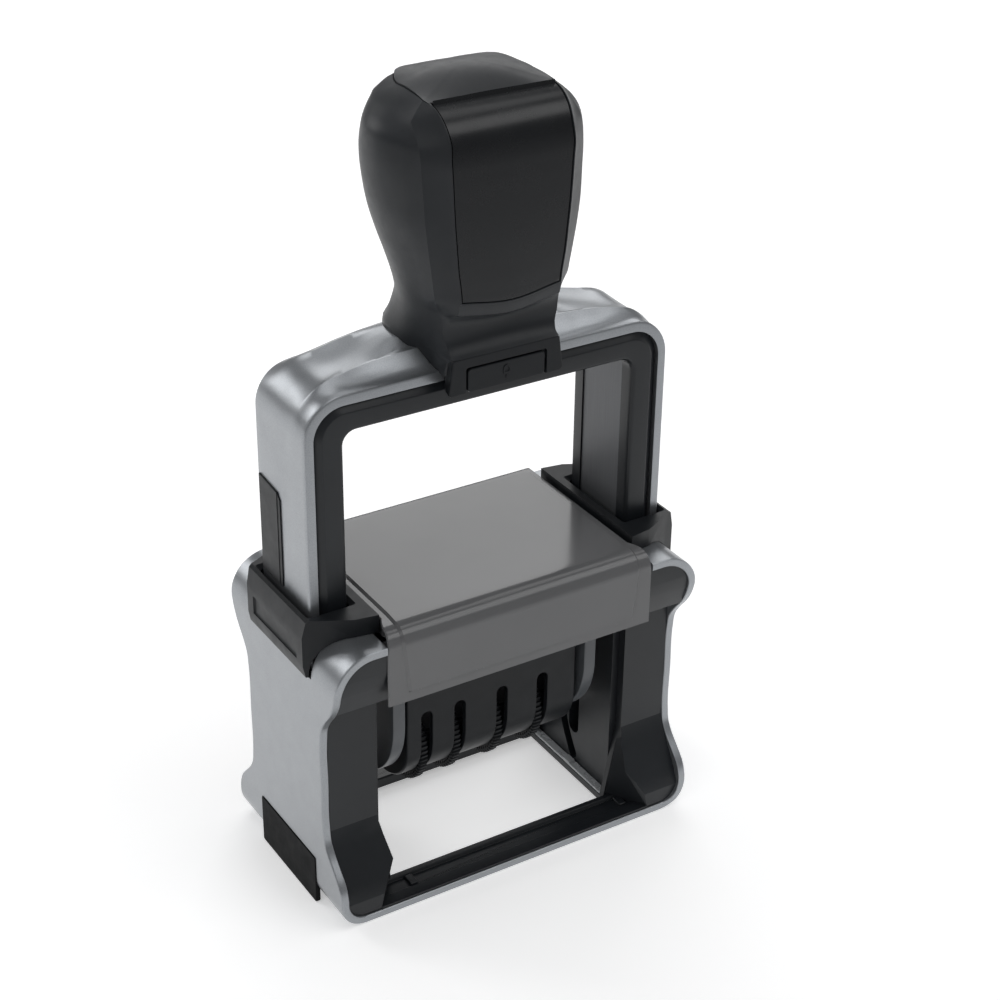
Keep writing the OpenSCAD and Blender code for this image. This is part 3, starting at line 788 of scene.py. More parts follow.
def make_saddle():
    """The block round the arch's bar, with the push button's pocket in its front."""
    gap = 0.45
    core = block("saddle_core", -BLOCK_REAR_HALF, BLOCK_REAR_HALF, -TRIM_FRONT, TRIM_FRONT,
                 TRIM.z1 + 0.1, BLOCK_TOP - 0.4, 0.2)
    saddle = fuse(core, saddle_half(-1), saddle_half(1))
    pocket = block("pocket", BUTTON.x0 - gap, BUTTON.x1 + gap, -40, BUTTON.y1 + 2.0,
                   BLOCK_BOTTOM - 3, BUTTON.z1 - 0.3 + gap, 0.5)
    cut(saddle, pocket)
    soften(saddle, 0.18, 2, 40)
    piece(saddle, "press_frame", "black_plastic", "saddle_block")


def make_button():
    """Push button with a raised padlock outline."""
    face = -(SADDLE.y1 - 0.05)
    top = BUTTON.z1 - 0.3
    outline = box_outline(BUTTON.x0, BUTTON.x1, BLOCK_BOTTOM + 0.1, top, 0.8)
    button = prism("lock_button", outline, "y", face, BUTTON.y1, 0.25)
    line = 0.3
    middle = 0.5 * (BLOCK_BOTTOM + top)
    body = box_outline(-1.2, 1.2, middle - 1.9, middle, 0.2)
    shackle = [(0.8, middle - 0.1), *arc(0, middle + 0.9, 0.8, 0, 180, 8), (-0.8, middle - 0.1)]
    front, root = face - 0.14, face + 0.3
    mark = [outline_ring("mark_body", body, line, "y", front, root),
            outline_ring("mark_shackle", shackle, line, "y", front, root),
            prism("mark_key", box_outline(-0.18, 0.18, middle - 1.35, middle - 0.6, 0.1), "y", front, root)]
    fuse(button, *mark)
    piece(button, "lock_button", "black_plastic", "lock_button")


# ---- Arch ----

ARCH_HALF = ARCH.x1
ARCH_DEPTH = ARCH.y1
ARCH_FOOT = ARCH.z0
TRIM_FRONT = -TRIM.y0
SEAM_HALF = TRIM.x1 + 0.05
SEAM_TOP = TRIM.z1 + 0.05
CLAD = ARCH_HALF - SEAM_HALF
CORNER_R = 8.7
ARCH_TOP = SEAM_TOP + 2.15
OPENING = Span("bar_core").z0 - 0.05
OPENING_HALF = Span("leg_core_right").x0 - 0.3
CORE_DEPTH = Span("bar_core").y1

# Rise of the arch's top over its plain outline, against the distance from the middle, along five lines
RISES = {
    "flute": [(13, 1.2), (20, 1.1), (26, 0.7), (31.5, 0.35), (35, 0.2), (40, 0), (42, 0)],
    "ridge": [(13, 3.8), (20, 3.6), (26, 3.1), (31.5, 2.1), (35, 1.3), (38, 0.6), (42, 0)],
    "valley": [(13, 5.2), (16, 4.9), (20, 3.8), (26, 2.2), (31.5, 1.1), (35, 0.7), (38, 0.35), (42, 0)],
    "rear_ridge": [(13, 4.4), (20, 3.9), (26, 3.0), (31.5, 1.8), (35, 1.1), (38, 0.5), (42, 0)],
    "rear_edge": [(13, 2.7), (22.8, 1.3), (31.7, -0.2), (35, -0.4), (38, -0.2), (42, 0)],
}


def arch_path(half, top, r, foot, end):
    """Points and outward normals along the right half of an arch, from its foot to x = end."""
    out = [((half, z), (1, 0)) for z in np.linspace(foot, top - r, 6)[:-1]]
    out += corner(half - r, top - r, r, 0, 90, 14)
    out += [((x, top), (0, 1)) for x in np.linspace(half - r, end, 18)[1:]]
    return out


def make_arch_shell():
    """Silver cladding of the arch, in two halves that rise towards the saddle between them."""
    front = ARCH_DEPTH
    inner = arch_path(SEAM_HALF, SEAM_TOP, CORNER_R - CLAD, ARCH_FOOT, BLOCK_REAR_HALF)
    outer = arch_path(ARCH_HALF, ARCH_TOP, CORNER_R, ARCH_FOOT, BLOCK_REAR_HALF)
    rings = []
    for (ip, _), (op, n) in zip(inner, outer):
        x = abs(op[0])
        on_top = op[1] > ARCH_TOP - CORNER_R
        rise = {k: float(smooth_value(t, x)) if on_top else 0.0 for k, t in RISES.items()}
        keys = [
            (-front, -0.5), (-front + 0.12, -0.14), (-front + 0.5, 0), (-front + 1.3, 0.15 * rise["flute"]),
            (-8.2, rise["flute"]), (-7, 0.45 * rise["flute"] + 0.55 * rise["ridge"]), (-6.1, rise["ridge"]),
            (-5.6, rise["ridge"]), (-4.4, 0.5 * (rise["ridge"] + rise["valley"]) - 0.15 * rise["ridge"]),
            (-2, rise["valley"] - 0.05), (0, rise["valley"]), (2, rise["valley"]),
            (4.6, 0.5 * (rise["valley"] + rise["rear_ridge"])), (6.4, rise["rear_ridge"]),
            (8.4, 0.6 * rise["rear_ridge"] + 0.4 * rise["rear_edge"]), (front - 0.5, rise["rear_edge"]),
            (front - 0.12, rise["rear_edge"] - 0.14), (front, rise["rear_edge"] - 0.5),
        ]
        ring = [(op[0] + n[0] * h, y, op[1] + n[1] * h) for y, h in keys]
        ring += [(ip[0], front, ip[1]), (ip[0], -front, ip[1])]
        narrow = [float(np.interp(abs(y), (8.4, front - 0.5), (13.4, 11.35))) for _, y, _ in ring]
        rings.append([(max(px, nx), py, pz) for (px, py, pz), nx in zip(ring, narrow)])
    right = loft("arch_half", rings)
    left = flipped(right, "arch_half_left")
    halves = joined("arch_shell", [right, left])
    piece(halves, "press_frame", "silver", "arch_shell", angle=30)


def band_between(name, inner, outer, section):
    """Solid that fills the band between two outlines; section gives (distance from the inner one, y) points,
    negative distances counted from the outer one."""
    rings = []
    for (ip, _), (op, _) in zip(inner, outer):
        a, b = np.array(ip), np.array(op)
        width = np.linalg.norm(b - a)
        ring = []
        for d, y in section:
            share = d / width if d >= 0 else 1 + d / width
            p = a + (b - a) * share
            ring.append((p[0], y, p[1]))
        rings.append(ring)
    return loft(name, rings)


def make_trim(side, name):
    """Black facing of the arch, with a bevel along its outer edge."""
    inner = both_sides(arch_path(OPENING_HALF, OPENING, 3, ARCH_FOOT, 0))
    outer = both_sides(arch_path(SEAM_HALF - 0.06, SEAM_TOP - 0.06, CORNER_R - CLAD - 0.05, ARCH_FOOT, 0))
    inner_y = CORE_DEPTH + 0.1
    bevel = 1.9
    section = [
        (0.0, inner_y), (0.0, TRIM_FRONT - 1.1), (0.18, TRIM_FRONT - 0.5), (0.55, TRIM_FRONT - 0.14),
        (1.1, TRIM_FRONT), (-bevel - 0.1, TRIM_FRONT), (-bevel + 0.15, TRIM_FRONT - 0.1),
        (-0.2, TRIM_FRONT - 1.1), (-0.0001, TRIM_FRONT - 1.35), (-0.0001, inner_y),
    ]
    trim = band_between("arch_trim_" + name, inner, outer, [(d, side * y) for d, y in section])
    piece(trim, "press_frame", "satin_black", "arch_trim_" + name, angle=24)


def make_inlays():
    """Black strips on the rear half of the legs' outer faces."""
    for name in ("left", "right"):
        node = Span("leg_inlay_" + name)
        outline = [(node.y0, node.z0), (node.y1, node.z0), (node.y1, node.z1), (node.y0 + 1.2, node.z1 - 0.8),
                   (node.y0, node.z1 - 2.2)]
        x0, x1 = ARCH_HALF - 0.2, max(abs(node.x0), abs(node.x1))
        inlay = prism("leg_inlay_" + name, outline, "x", x0, x1, 0.18)
        front_edge = box_outline(node.y0 - 1, node.y0 + 1.1, node.z0 - 1, node.z1 + 1, 0)
        facet = prism("facet", front_edge, "x", x1 - 0.12, x1 + 1)
        cut(inlay, facet)
        soften(inlay, 0.08, 2, 40)
        inlay = on_side(inlay, name)
        piece(inlay, "press_frame", "black_plastic", "leg_inlay_" + name)


make_saddle()
make_button()
make_arch_shell()
make_trim(-1, "front")
make_trim(1, "rear")
make_inlays()

# ---- Base ----

SHELL = Span("side_shell_right")
FRAME_BOX = Span("inner_frame_right")
RIM = Span("bottom_rim_front")
COLLAR = Span("guide_collar_right")
INSERT = Span("foot_insert_right")
CAM_WALL = Span("cam_wall_right")
RAIL = Span("rail_front")
HALF = SHELL.x1
TOP = SHELL.z1
FOOT_HALF = SHELL.y1
WAIST_HALF = 16.6
SHELL_T = 1.75
SHOULDER_R = 9
FOOT_R = 6.5
SHELL_END = SHELL.x0
WINDOW_HALF = Span("side_rail_right").x0
WINDOW_DEPTH = -RAIL.y1
NECK_IN = 31
SKIRT_HALF = 13.6
SHOULDER_IN = 29.6

# Half depth of the shell against height
DEPTHS = [
    (0, FOOT_HALF - 0.5), (1.5, FOOT_HALF - 0.1), (4, FOOT_HALF), (8, FOOT_HALF - 0.1), (11, FOOT_HALF - 1.2),
    (13.5, FOOT_HALF - 3.4), (16, WAIST_HALF + 2), (18.5, WAIST_HALF + 0.5), (21.5, WAIST_HALF),
    (33, WAIST_HALF - 0.1), (44, WAIST_HALF), (47, WAIST_HALF + 0.5), (49.5, WAIST_HALF + 2),
    (52.5, WAIST_HALF + 4.4), (55.5, FOOT_HALF - 1.7), (59, FOOT_HALF - 0.8), (63, FOOT_HALF - 0.5),
    (TOP, FOOT_HALF - 0.5),
]


def shell_path():
    """The shell seen from the front, from the right shoulder's end down and across to the middle."""
    shoulder = (HALF - SHOULDER_R, TOP - SHOULDER_R)
    foot = (HALF - FOOT_R, FOOT_R)
    path = [((x, TOP), (0, 1)) for x in np.linspace(SHELL_END - 0.2, shoulder[0], 4)[:-1]]
    path += corner(*shoulder, SHOULDER_R, 90, 0, 16)
    path += [((HALF, z), (1, 0)) for z in np.linspace(shoulder[1], foot[1], 44)[1:-1]]
    path += corner(*foot, FOOT_R, 0, -90, 14)
    path += [((x, 0.0), (0, -1)) for x in np.linspace(foot[0], 0, 12)[1:]]
    return path


def make_base_shell():
    """Silver shell of both sides and the bottom rims, with its openings."""
    rings = []
    for (x, z), (nx, nz) in both_sides(shell_path()):
        d = min(float(smooth_value(DEPTHS, z)), FOOT_HALF)
        half = [(-SHELL_T, d - 0.15), (-SHELL_T + 0.15, d), (-0.42, d), (-0.2, d - 0.05), (-0.05, d - 0.2),
                (0, d - 0.45), (0, 0.55 * d)]
        section = half + [(h, -y) for h, y in reversed(half)]
        rings.append([(x + nx * h, y, z + nz * h) for h, y in section])
    shell = loft("base_shell", rings)
    window = block("window", RIM.x0, RIM.x1, RIM.y1, -RIM.y1, -3, 4, 0.4)
    tools = [window]
    for side in SIDES:
        x0, x1 = sorted((side * (SHELL_END - 3), side * (HALF + 3)))
        slot_half = SKIRT_HALF + 0.1
        tools.append(block("collar_slot", x0, x1, -slot_half, slot_half, COLLAR.z0 - 0.1, TOP + 5, 0.3))
        x0, x1 = sorted((side * (HALF - SHELL_T - 2), side * (HALF - 1.15)))
        tools.append(block("leg_room", x0, x1, -11.5, 11.5, INSERT.z1 + 1.6, TOP + 5, 0.2))
        x0, x1 = sorted((side * (HALF - 0.95), side * (HALF + 3)))
        tools.append(block("insert_slot", x0, x1, INSERT.y0 - 0.1, INSERT.y1 + 0.1, -5, INSERT.z1 + 0.1, 0.5))
    cut(shell, *tools)
    nodes = ("side_shell_left", "side_shell_right", "bottom_rim_front", "bottom_rim_rear")
    piece(shell, "base", "silver", *nodes, angle=30)


def make_inner_frame(name):
    """Black post around a leg's shaft, chamfered towards the paper opening."""
    half = WAIST_HALF - 0.35
    side = mirrored([
        (FOOT_HALF - 0.9, FRAME_BOX.z0), (FOOT_HALF - 0.9, 5.6), (FOOT_HALF - 2.2, 9), (half + 1.5, 16.6),
        (half, 20.6), (half, 50), (FOOT_HALF - 3.4, 52.4), (FOOT_HALF - 1.8, 57), (FOOT_HALF - 1.1, 60.5),
        (FOOT_HALF - 0.95, TOP),
    ])
    frame_piece = prism("inner_frame_" + name, side, "x", WINDOW_HALF, HALF - SHELL_T - 0.04)
    gap = SHELL_T + 0.04
    front = [(WINDOW_HALF + 0.05, FRAME_BOX.z0), (HALF - FOOT_R, FRAME_BOX.z0 - 0.2)]
    front += arc(HALF - FOOT_R, FOOT_R, FOOT_R - gap, -70, 0, 8)
    front += arc(HALF - SHOULDER_R, TOP - SHOULDER_R, SHOULDER_R - gap, 0, 90, 10)
    front += [(SHOULDER_IN + 1, TOP - gap), (SHOULDER_IN, TOP - gap - 1), (SHOULDER_IN, 51.2),
              (NECK_IN, 50.8), (NECK_IN, 20)]
    keep(frame_piece, prism("front_view", front, "y", -40, 40))
    wedges = []
    for way in SIDES:
        rings = []
        for z, inner, outer in ((-1, WINDOW_HALF, 35.5), (20.5, NECK_IN, NECK_IN + 0.2)):
            plan = ((20, WINDOW_DEPTH), (inner, WINDOW_DEPTH), (outer, FOOT_HALF), (outer, 30), (20, 30))
            rings.append([(x, way * y, z) for x, y in plan])
        wedges.append(loft("wedge", rings))
    cut(frame_piece, *wedges)
    shaft = block("shaft", CAM_WALL.x1 + 0.1, 60, -11.4, 11.4, 3.5, 90, 0)
    hollow = block("hollow", 0, CAM_WALL.x1 + 0.1, CAM_WALL.y0 - 0.1, CAM_WALL.y1 + 0.1, -5, 90, 0)
    slot = block("slot", CAM_WALL.x1, 60, -SKIRT_HALF - 0.1, SKIRT_HALF + 0.1, COLLAR.z0 - 0.1, 90, 0)
    cut(frame_piece, shaft, hollow, slot)
    soften(frame_piece, 0.4, 3, 14)
    frame_piece = on_side(frame_piece, name)
    piece(frame_piece, "base", "satin_black", "inner_frame_" + name)


def make_rails():
    """Black rim of the paper opening: shaped rails front and rear, flat rails and strips at the sides."""
    lip = 0.35
    for side, name in ((-1, "front"), (1, "rear")):
        profile = [
            (-22.1, 0.3), (-22.1, 1.8), (-23.55, 1.95), (-23.6, 2.2), (-23.3, 2.35), (-20.6, 2.4),
            (-20.5, 2.15), (-17.2, 2.15), (-17.1, 2.5), (-16.9, 2.5 + lip), (-WINDOW_DEPTH - 0.25, 2.5 + lip),
            (-WINDOW_DEPTH, 2.5), (-WINDOW_DEPTH, 0.3),
        ]
        outline = [(-side * y, z) for y, z in profile]
        rail = prism("rail_" + name, outline, "x", RAIL.x0, RAIL.x1)
        y0, y1 = sorted((side * 20.4, side * 17.3))
        clips = [block("clip", x - 0.9, x + 0.9, y0, y1, 1.9, 2.75, 0.2) for x in (-24.4, 29.6)]
        fuse(rail, *clips)
        soften(rail, 0.1, 2, 35)
        piece(rail, "base", "satin_black", "rail_" + name)
    for name in ("left", "right"):
        node = Span("side_rail_" + name)
        x0, x1 = min(abs(node.x0), abs(node.x1)), max(abs(node.x0), abs(node.x1))
        rail = prism("side_rail_" + name, box_outline(x0, x1, node.z0, node.z1, 0.2), "y", node.y0, node.y1)
        rail = on_side(rail, name)
        piece(rail, "base", "satin_black", "side_rail_" + name)
        strip = Span("position_strip_" + name)
        bar = block("strip", strip.x0, strip.x1, strip.y0, strip.y1, strip.z0, strip.z1 - 0.3, 0.15)
        clip = block("clip", strip.x0, strip.x1, -1.4, 1.4, strip.z0, strip.z1, 0.2)
        fuse(bar, clip)
        piece(bar, "base", "clear_strip", "position_strip_" + name)


def make_collar(name):
    """Black collar that a leg slides through, with a funnelled hole and a sunk outer face."""
    skirt = SKIRT_HALF
    gap = 0.12
    front = [(COLLAR.x0, TOP + gap), (HALF - SHOULDER_R, TOP + gap)]
    front += arc(HALF - SHOULDER_R, TOP - SHOULDER_R, SHOULDER_R + gap, 84, 10, 9)
    front += [(HALF + 0.1, COLLAR.z0), (COLLAR.x1 - 0.5, COLLAR.z0), (COLLAR.x1, COLLAR.z0 + 2.5),
              (COLLAR.x1, TOP + 0.2), (COLLAR.x1 - 0.8, COLLAR.z1 - 0.4), (COLLAR.x1 - 1.6, COLLAR.z1),
              (COLLAR.x0, COLLAR.z1)]
    collar = prism("guide_collar_" + name, front, "y", COLLAR.y0, COLLAR.y1)
    half = COLLAR.y1
    edge = [(COLLAR.x0, -half), (35.5, -half + 0.8), (42.1, -skirt), (COLLAR.x1 + 0.2, -12.3)]
    plan = edge + [(x, -y) for x, y in reversed(edge)]
    keep(collar, prism("plan", plan, "z", 0, 90))
    skirt_block = block("skirt", CAM_WALL.x1 + 0.2, HALF - 1.9, -skirt, skirt, COLLAR.z0, TOP + 1, 0.2)
    fuse(collar, skirt_block)
    low, high, deep = OPENING_HALF - 0.4, ARCH_HALF + 0.75, TRIM_FRONT + 0.4
    hole = block("hole", low, high, -deep, deep, 0, 90, 0.8)
    rings = []
    for z, flare in ((COLLAR.z1 - 0.9, 0.0), (COLLAR.z1 + 0.1, 0.9), (COLLAR.z1 + 2, 0.9)):
        mouth = box_outline(low - flare, high + flare * 0.6, -deep - flare, deep + flare, 0.8)
        rings.append([(x, y, z) for x, y in mouth])
    funnel = loft("funnel", rings)
    recess = block("recess", COLLAR.x1 - 0.35, COLLAR.x1 + 2, -9.8, 9.8, COLLAR.z0 + 3.2, TOP - 1.6, 0.3)
    cut(collar, hole, funnel, recess)
    soften(collar, 0.35, 3, 25)
    collar = on_side(collar, name)
    piece(collar, "base", "black_plastic", "guide_collar_" + name)


def make_inserts():
    """Black inserts low on the side walls."""
    for name in ("left", "right"):
        outline = box_outline(INSERT.y0, INSERT.y1, INSERT.z0, INSERT.z1, 0.5)
        insert = prism("foot_insert_" + name, outline, "x", HALF - 0.9, INSERT.x1 - 0.05, 0.25)
        insert = on_side(insert, name)
        piece(insert, "base", "black_plastic", "foot_insert_" + name, finish="insert_rubber")


make_base_shell()
for side_name in ("left", "right"):
    make_inner_frame(side_name)
    make_collar(side_name)
make_rails()
make_inserts()

# ---- Hood ----

HOOD = Span("dust_hood")
HOOD_HALF = 29.8
HOOD_T = 1.2
APRON_HALF = HOOD.x1


def hood_path():
    """Folded sheet seen from the side, from the rear lip over the top to the apron's edge.

    Gives point, normal, half width, width of the lowered border, and whether the middle is raised there."""
    top, front, bottom, back = HOOD.z1, -HOOD.y0, HOOD.z0, HOOD.y1
    fold, rear_r = 4.2, 2.6
    rows = [((back, 66.4), (1, 0), HOOD_HALF, 1.4, 0)]
    rows += [(p, n, HOOD_HALF, 1.4, 0) for p, n in corner(back - rear_r, top - rear_r, rear_r, 0, 90, 7)]
    for y, raised in ((19.4, 0), (19.0, 1), (12, 1), (4, 1), (-4, 1), (-12, 1), (-17.2, 1)):
        rows.append(((y, top), (0, 1), HOOD_HALF, 1.4, raised))
    rows.append(((-18.6, top), (0, 1), HOOD_HALF + 0.7, 2.0, 1))
    start = HOOD_HALF + 1.2
    for k, (p, n) in enumerate(corner(fold - front, top - fold, fold, 90, 180, 11)):
        share = k / 10
        rows.append((p, n, start + (APRON_HALF - start) * share, 2.4 + 0.8 * share, 1))
    apron = ((61, 1), (57.5, 1), (bottom + 2.5, 1), (bottom + 2.1, 0), (bottom + 0.15, 0), (bottom, 0))
    for z, raised in apron:
        share = (top - fold - z) / (top - fold - bottom)
        rows.append(((-front, z), (-1, 0), APRON_HALF, 3.2 + 1.6 * share, raised))
    return rows


def make_hood():
    """Smoke-tinted cover with a raised middle and closed ends."""
    rings = []
    step = 0.5
    for (y, z), (ny, nz), half, border, raised in hood_path():
        lift = 0.0 if raised else -step
        across = [(half - 0.25, -HOOD_T), (half, -HOOD_T + 0.2), (half, -step - 0.25), (half - 0.25, -step),
                  (half - border, -step), (half - border - 0.55, lift), (0.4 * half, lift)]
        ring = across + [(-x, h) for x, h in reversed(across)]
        rings.append([(x, y + ny * h, z + nz * h) for x, h in ring])
    hood = loft("dust_hood", rings)
    ends = []
    for side in SIDES:
        x0, x1 = sorted((side * (HOOD_HALF - HOOD_T), side * (HOOD_HALF - 0.05)))
        ends.append(block("cheek", x0, x1, -18, 18, 65.2, HOOD.z1 - 0.6, 0.2))
    fuse(hood, *ends)
    piece(hood, "base", "smoke_cover", "dust_hood", angle=22)


make_hood()

# ---- Type unit ----

HOUSING = Span("type_housing")
WHEELS = [Span(f"band_wheel_{i}") for i in range(1, 5)]
WHEEL_Z = 0.5 * (WHEELS[0].z0 + WHEELS[0].z1)
WHEEL_R = 0.5 * (WHEELS[0].z1 - WHEELS[0].z0)
DISC_T = 2.0
SLOT_W = 2.7
SLOT_TOP = 38.9
TEETH = 60
# One tooth of a thumb wheel: share of the pitch, and depth under the wheel's radius
TOOTH = ((0.0, 0.55), (0.22, 0.5), (0.36, 0.06), (0.64, 0.06), (0.78, 0.5))
AXLE_BORE_R = 1.55
AXIS_Z = 48.0


def make_housing():
    """Round-bottomed housing of the date bands, with a slot for each thumb wheel."""
    half_d = HOUSING.y1
    centre = HOUSING.z0 + half_d
    wall = 1.5

    def outline(t):
        top = HOUSING.z1 + t
        return [(half_d - t, top), (-half_d + t, top), *arc(0, centre, half_d - t, 180, 360, 28)]

    housing = prism("type_housing", outline(0), "x", HOUSING.x0, HOUSING.x1, 0.5)
    tools = [prism("hollow", outline(wall), "x", HOUSING.x0 + wall, HOUSING.x1 - wall)]
    for wheel in WHEELS:
        x = wheel.x0 + DISC_T / 2
        slot = box_outline(x - SLOT_W / 2, x + SLOT_W / 2, 5, SLOT_TOP, 1.25)
        tools.append(prism("slot", slot, "y", -half_d - 3, half_d + 3))
    tools.append(rod("bore", -40, 40, 0, WHEEL_Z, AXLE_BORE_R, 0))
    cut(housing, *tools)
    soften(housing, 0.22, 2, 35)
    piece(housing, "type_unit", "black_plastic", "type_housing")


def make_wheel(index, node):
    """Thumb wheel: a knurled disc with a recessed face, on the hub that drives its band."""
    x = node.x0 + DISC_T / 2
    teeth = []
    for i in range(TEETH):
        for share, depth in TOOTH:
            a = 2 * math.pi * (i + share) / TEETH
            r = WHEEL_R - depth
            teeth.append((r * math.cos(a), WHEEL_Z + r * math.sin(a)))

    def ring(scale, w):
        return [(w, y * scale, WHEEL_Z + (z - WHEEL_Z) * scale) for y, z in teeth]

    disc = loft(f"band_wheel_{index}", [
        ring(0.72, x - DISC_T / 2 + 0.35), ring(0.9, x - DISC_T / 2 + 0.3), ring(0.93, x - DISC_T / 2),
        ring(0.975, x - DISC_T / 2), ring(1, x - DISC_T / 2 + 0.25), ring(1, x + DISC_T / 2 - 0.25),
        ring(0.975, x + DISC_T / 2), ring(0.6, x + DISC_T / 2)])
    hub = rod("hub", x, node.x1, 0, WHEEL_Z, 6.3, 0.2)
    bore = rod("bore", x - 5, node.x1 + 5, 0, WHEEL_Z, AXLE_BORE_R, 0)
    fuse(disc, hub)
    cut(disc, bore)
    piece(disc, f"wheel_{index}", "black_plastic", f"band_wheel_{index}", angle=30)


def make_flange(name):
    """Curved end plate: a rim follows its edge and a boss carries the pivot."""
    node = Span("end_flange_" + name)
    plate = Span("text_plate")
    top = plate.z0 - 0.1
    x0, x1 = 22.3, 25.3
    cy, cz, r = 5, 38.5, 18.5
    outline = [(cy - r, top), *arc(cy, cz, r, 180, 297, 26), (node.y1, top)]
    flange = prism("end_flange_" + name, outline, "x", x0, x1, 0.35)
    cut(flange, prism("dish", inset(outline, 2.0), "x", x1 - 1.0, x1 + 1))
    boss = rod("boss", x0, x1, 0, AXIS_Z, 3.4, 0.25)
    bridge = block("bridge", HOUSING.x1 - 0.05, x0 + 0.5, -9, 9, 28, HOUSING.z1 - 0.5, 0.25)
    arm = block("arm", x0 + 0.2, x1 - 0.1, -1.7, 1.7, AXIS_Z, AXIS_Z + 8.4, 0.3)
    follower = rod("follower", x1 - 0.5, 31.3, 0, AXIS_Z + 7.6, 1.2, 0.2)
    fuse(flange, boss, arm, bridge, follower)
    cut(flange, rod("bore", HOUSING.x1 - 2, x1 + 1, 0, AXIS_Z, 1.66, 0))
    soften(flange, 0.12, 2, 40)
    flange = on_side(flange, name)
    piece(flange, "type_unit", "flange_grey", "end_flange_" + name)


def make_text_plate():
    """Tray with a window for the date bands, and the rubber die with bars in place of text."""
    plate = Span("text_plate")
    die = Span("rubber_die")
    window = 3.7
    tray = block("text_plate", plate.x0, plate.x1, plate.y0, plate.y1, plate.z0, plate.z1, 0.3)
    cut(tray, block("window", -19.2, 19.2, -window, window, 0, 90, 0.6))
    piece(tray, "type_unit", "black_plastic", "text_plate")
    floor = die.z1 - 0.7
    rubber_sheet = block("rubber_die", die.x0, die.x1, die.y0, die.y1, die.z0, floor, 0.15)
    cut(rubber_sheet, block("window", -19.2, 19.2, -window, window, 0, 90, 0.6))
    border = box_outline(die.x0 + 0.8, die.x1 - 0.8, die.y0 + 0.8, die.y1 - 0.8, 1.5)
    root = floor - 0.1
    lines = [outline_ring("border", border, 0.5, "z", root, die.z1)]
    for side in SIDES:
        for y, half, count in ((11, 19, 9), (7.2, 15, 7)):
            pitch = 2 * half / count
            for i in range(count):
                x = -half + pitch * (i + 0.5)
                width = pitch * (0.36 + 0.07 * ((i * 5 + int(y)) % 3 - 1))
                middle = side * y
                low, high = middle - 0.8, middle + 0.8
                lines.append(block("bar", x - width, x + width, low, high, root, die.z1, 0.1, 1))
    fuse(rubber_sheet, *lines)
    piece(rubber_sheet, "type_unit", "die_rubber", "rubber_die")


make_housing()
for number, wheel_node in enumerate(WHEELS, 1):
    make_wheel(number, wheel_node)
for side_name in ("left", "right"):
    make_flange(side_name)
make_text_plate()


BAND_T = 0.65
BAND_TYPE = 0.45
BAND_TIP_R = 3.3
TYPE_PITCH = 5.2


def make_bands():
    """Date bands: rubber loops with a row of raised type blocks, from the hub to the window."""
    for i in range(1, 5):
        node = Span(f"date_band_{i}")
        x0, x1 = node.x0, node.x1
        r_hub = WHEEL_Z - node.z0
        r_tip = BAND_TIP_R
        tip_z = node.z1 - r_tip
        lean = math.degrees(math.asin((r_hub - r_tip) / (tip_z - WHEEL_Z)))
        loop = arc(0, WHEEL_Z, r_hub - BAND_TYPE, 180 - lean, 360 + lean, 26)
        loop += arc(0, tip_z, r_tip - BAND_TYPE, lean, 180 - lean, 12)
        outer = prism(f"date_band_{i}", loop, "x", x0, x1, 0.15)
        cut(outer, prism("hole", inset(loop, BAND_T), "x", x0 - 1, x1 + 1))
        p = np.array(loop + loop[:1])
        steps = np.linalg.norm(np.diff(p, axis=0), axis=1)
        run = np.concatenate([[0], np.cumsum(steps)])
        count = int(run[-1] / TYPE_PITCH)
        blocks = []
        for k in range(count):
            s = run[-1] * k / count
            y, z = np.interp(s, run, p[:, 0]), np.interp(s, run, p[:, 1])
            j = min(np.searchsorted(run, s, side="right") - 1, len(steps) - 1)
            tangent = (p[j + 1] - p[j]) / steps[j]
            normal = (tangent[1], -tangent[0])
            corners = [(y + tangent[0] * a + normal[0] * b, z + tangent[1] * a + normal[1] * b)
                       for a, b in ((-1.5, -0.1), (1.5, -0.1), (1.5, 0.42), (-1.5, 0.42))]
            blocks.append(prism("type", corners, "x", x0 + 0.9, x1 - 0.9))
        fuse(outer, *blocks)
        piece(outer, "type_unit", "band_rubber", f"date_band_{i}")


make_bands()

# ---- Ink cartridge ----

PAD = Span("ink_pad_felt")
CARTRIDGE = Span("ink_cartridge")


def make_cartridge():
    """Tray of the ink pad, with wings that run on the ledges and a ribbed handle."""
    half = PAD.x1 + 0.5
    tray = block("ink_cartridge", -half, half, PAD.y0 - 1.9, PAD.y1 + 2, PAD.z0 + 0.6, CARTRIDGE.z1, 0.5)
    wings = block("wings", CARTRIDGE.x0, CARTRIDGE.x1, -16, 16, 61.3, 62.3, 0.2)
    grip = block("handle", -half, half, PAD.y1 + 1.6, CARTRIDGE.y1 - 0.5, CARTRIDGE.z0, CARTRIDGE.z1, 0.6)
    low, high = CARTRIDGE.z0 + 1, CARTRIDGE.z1 - 1
    ribs = [block("rib", x - 0.8, x + 0.8, CARTRIDGE.y1 - 1, CARTRIDGE.y1, low, high, 0.3)
            for x in range(-20, 21, 5)]
    fuse(tray, wings, grip)
    fuse(tray, *ribs)
    cut(tray, block("well", PAD.x0 - 0.1, PAD.x1 + 0.1, PAD.y0 - 0.1, PAD.y1 + 0.1, 0, PAD.z1, 0.3))
    soften(tray, 0.12, 2, 40)
    piece(tray, "ink_cartridge", "black_plastic", "ink_cartridge")


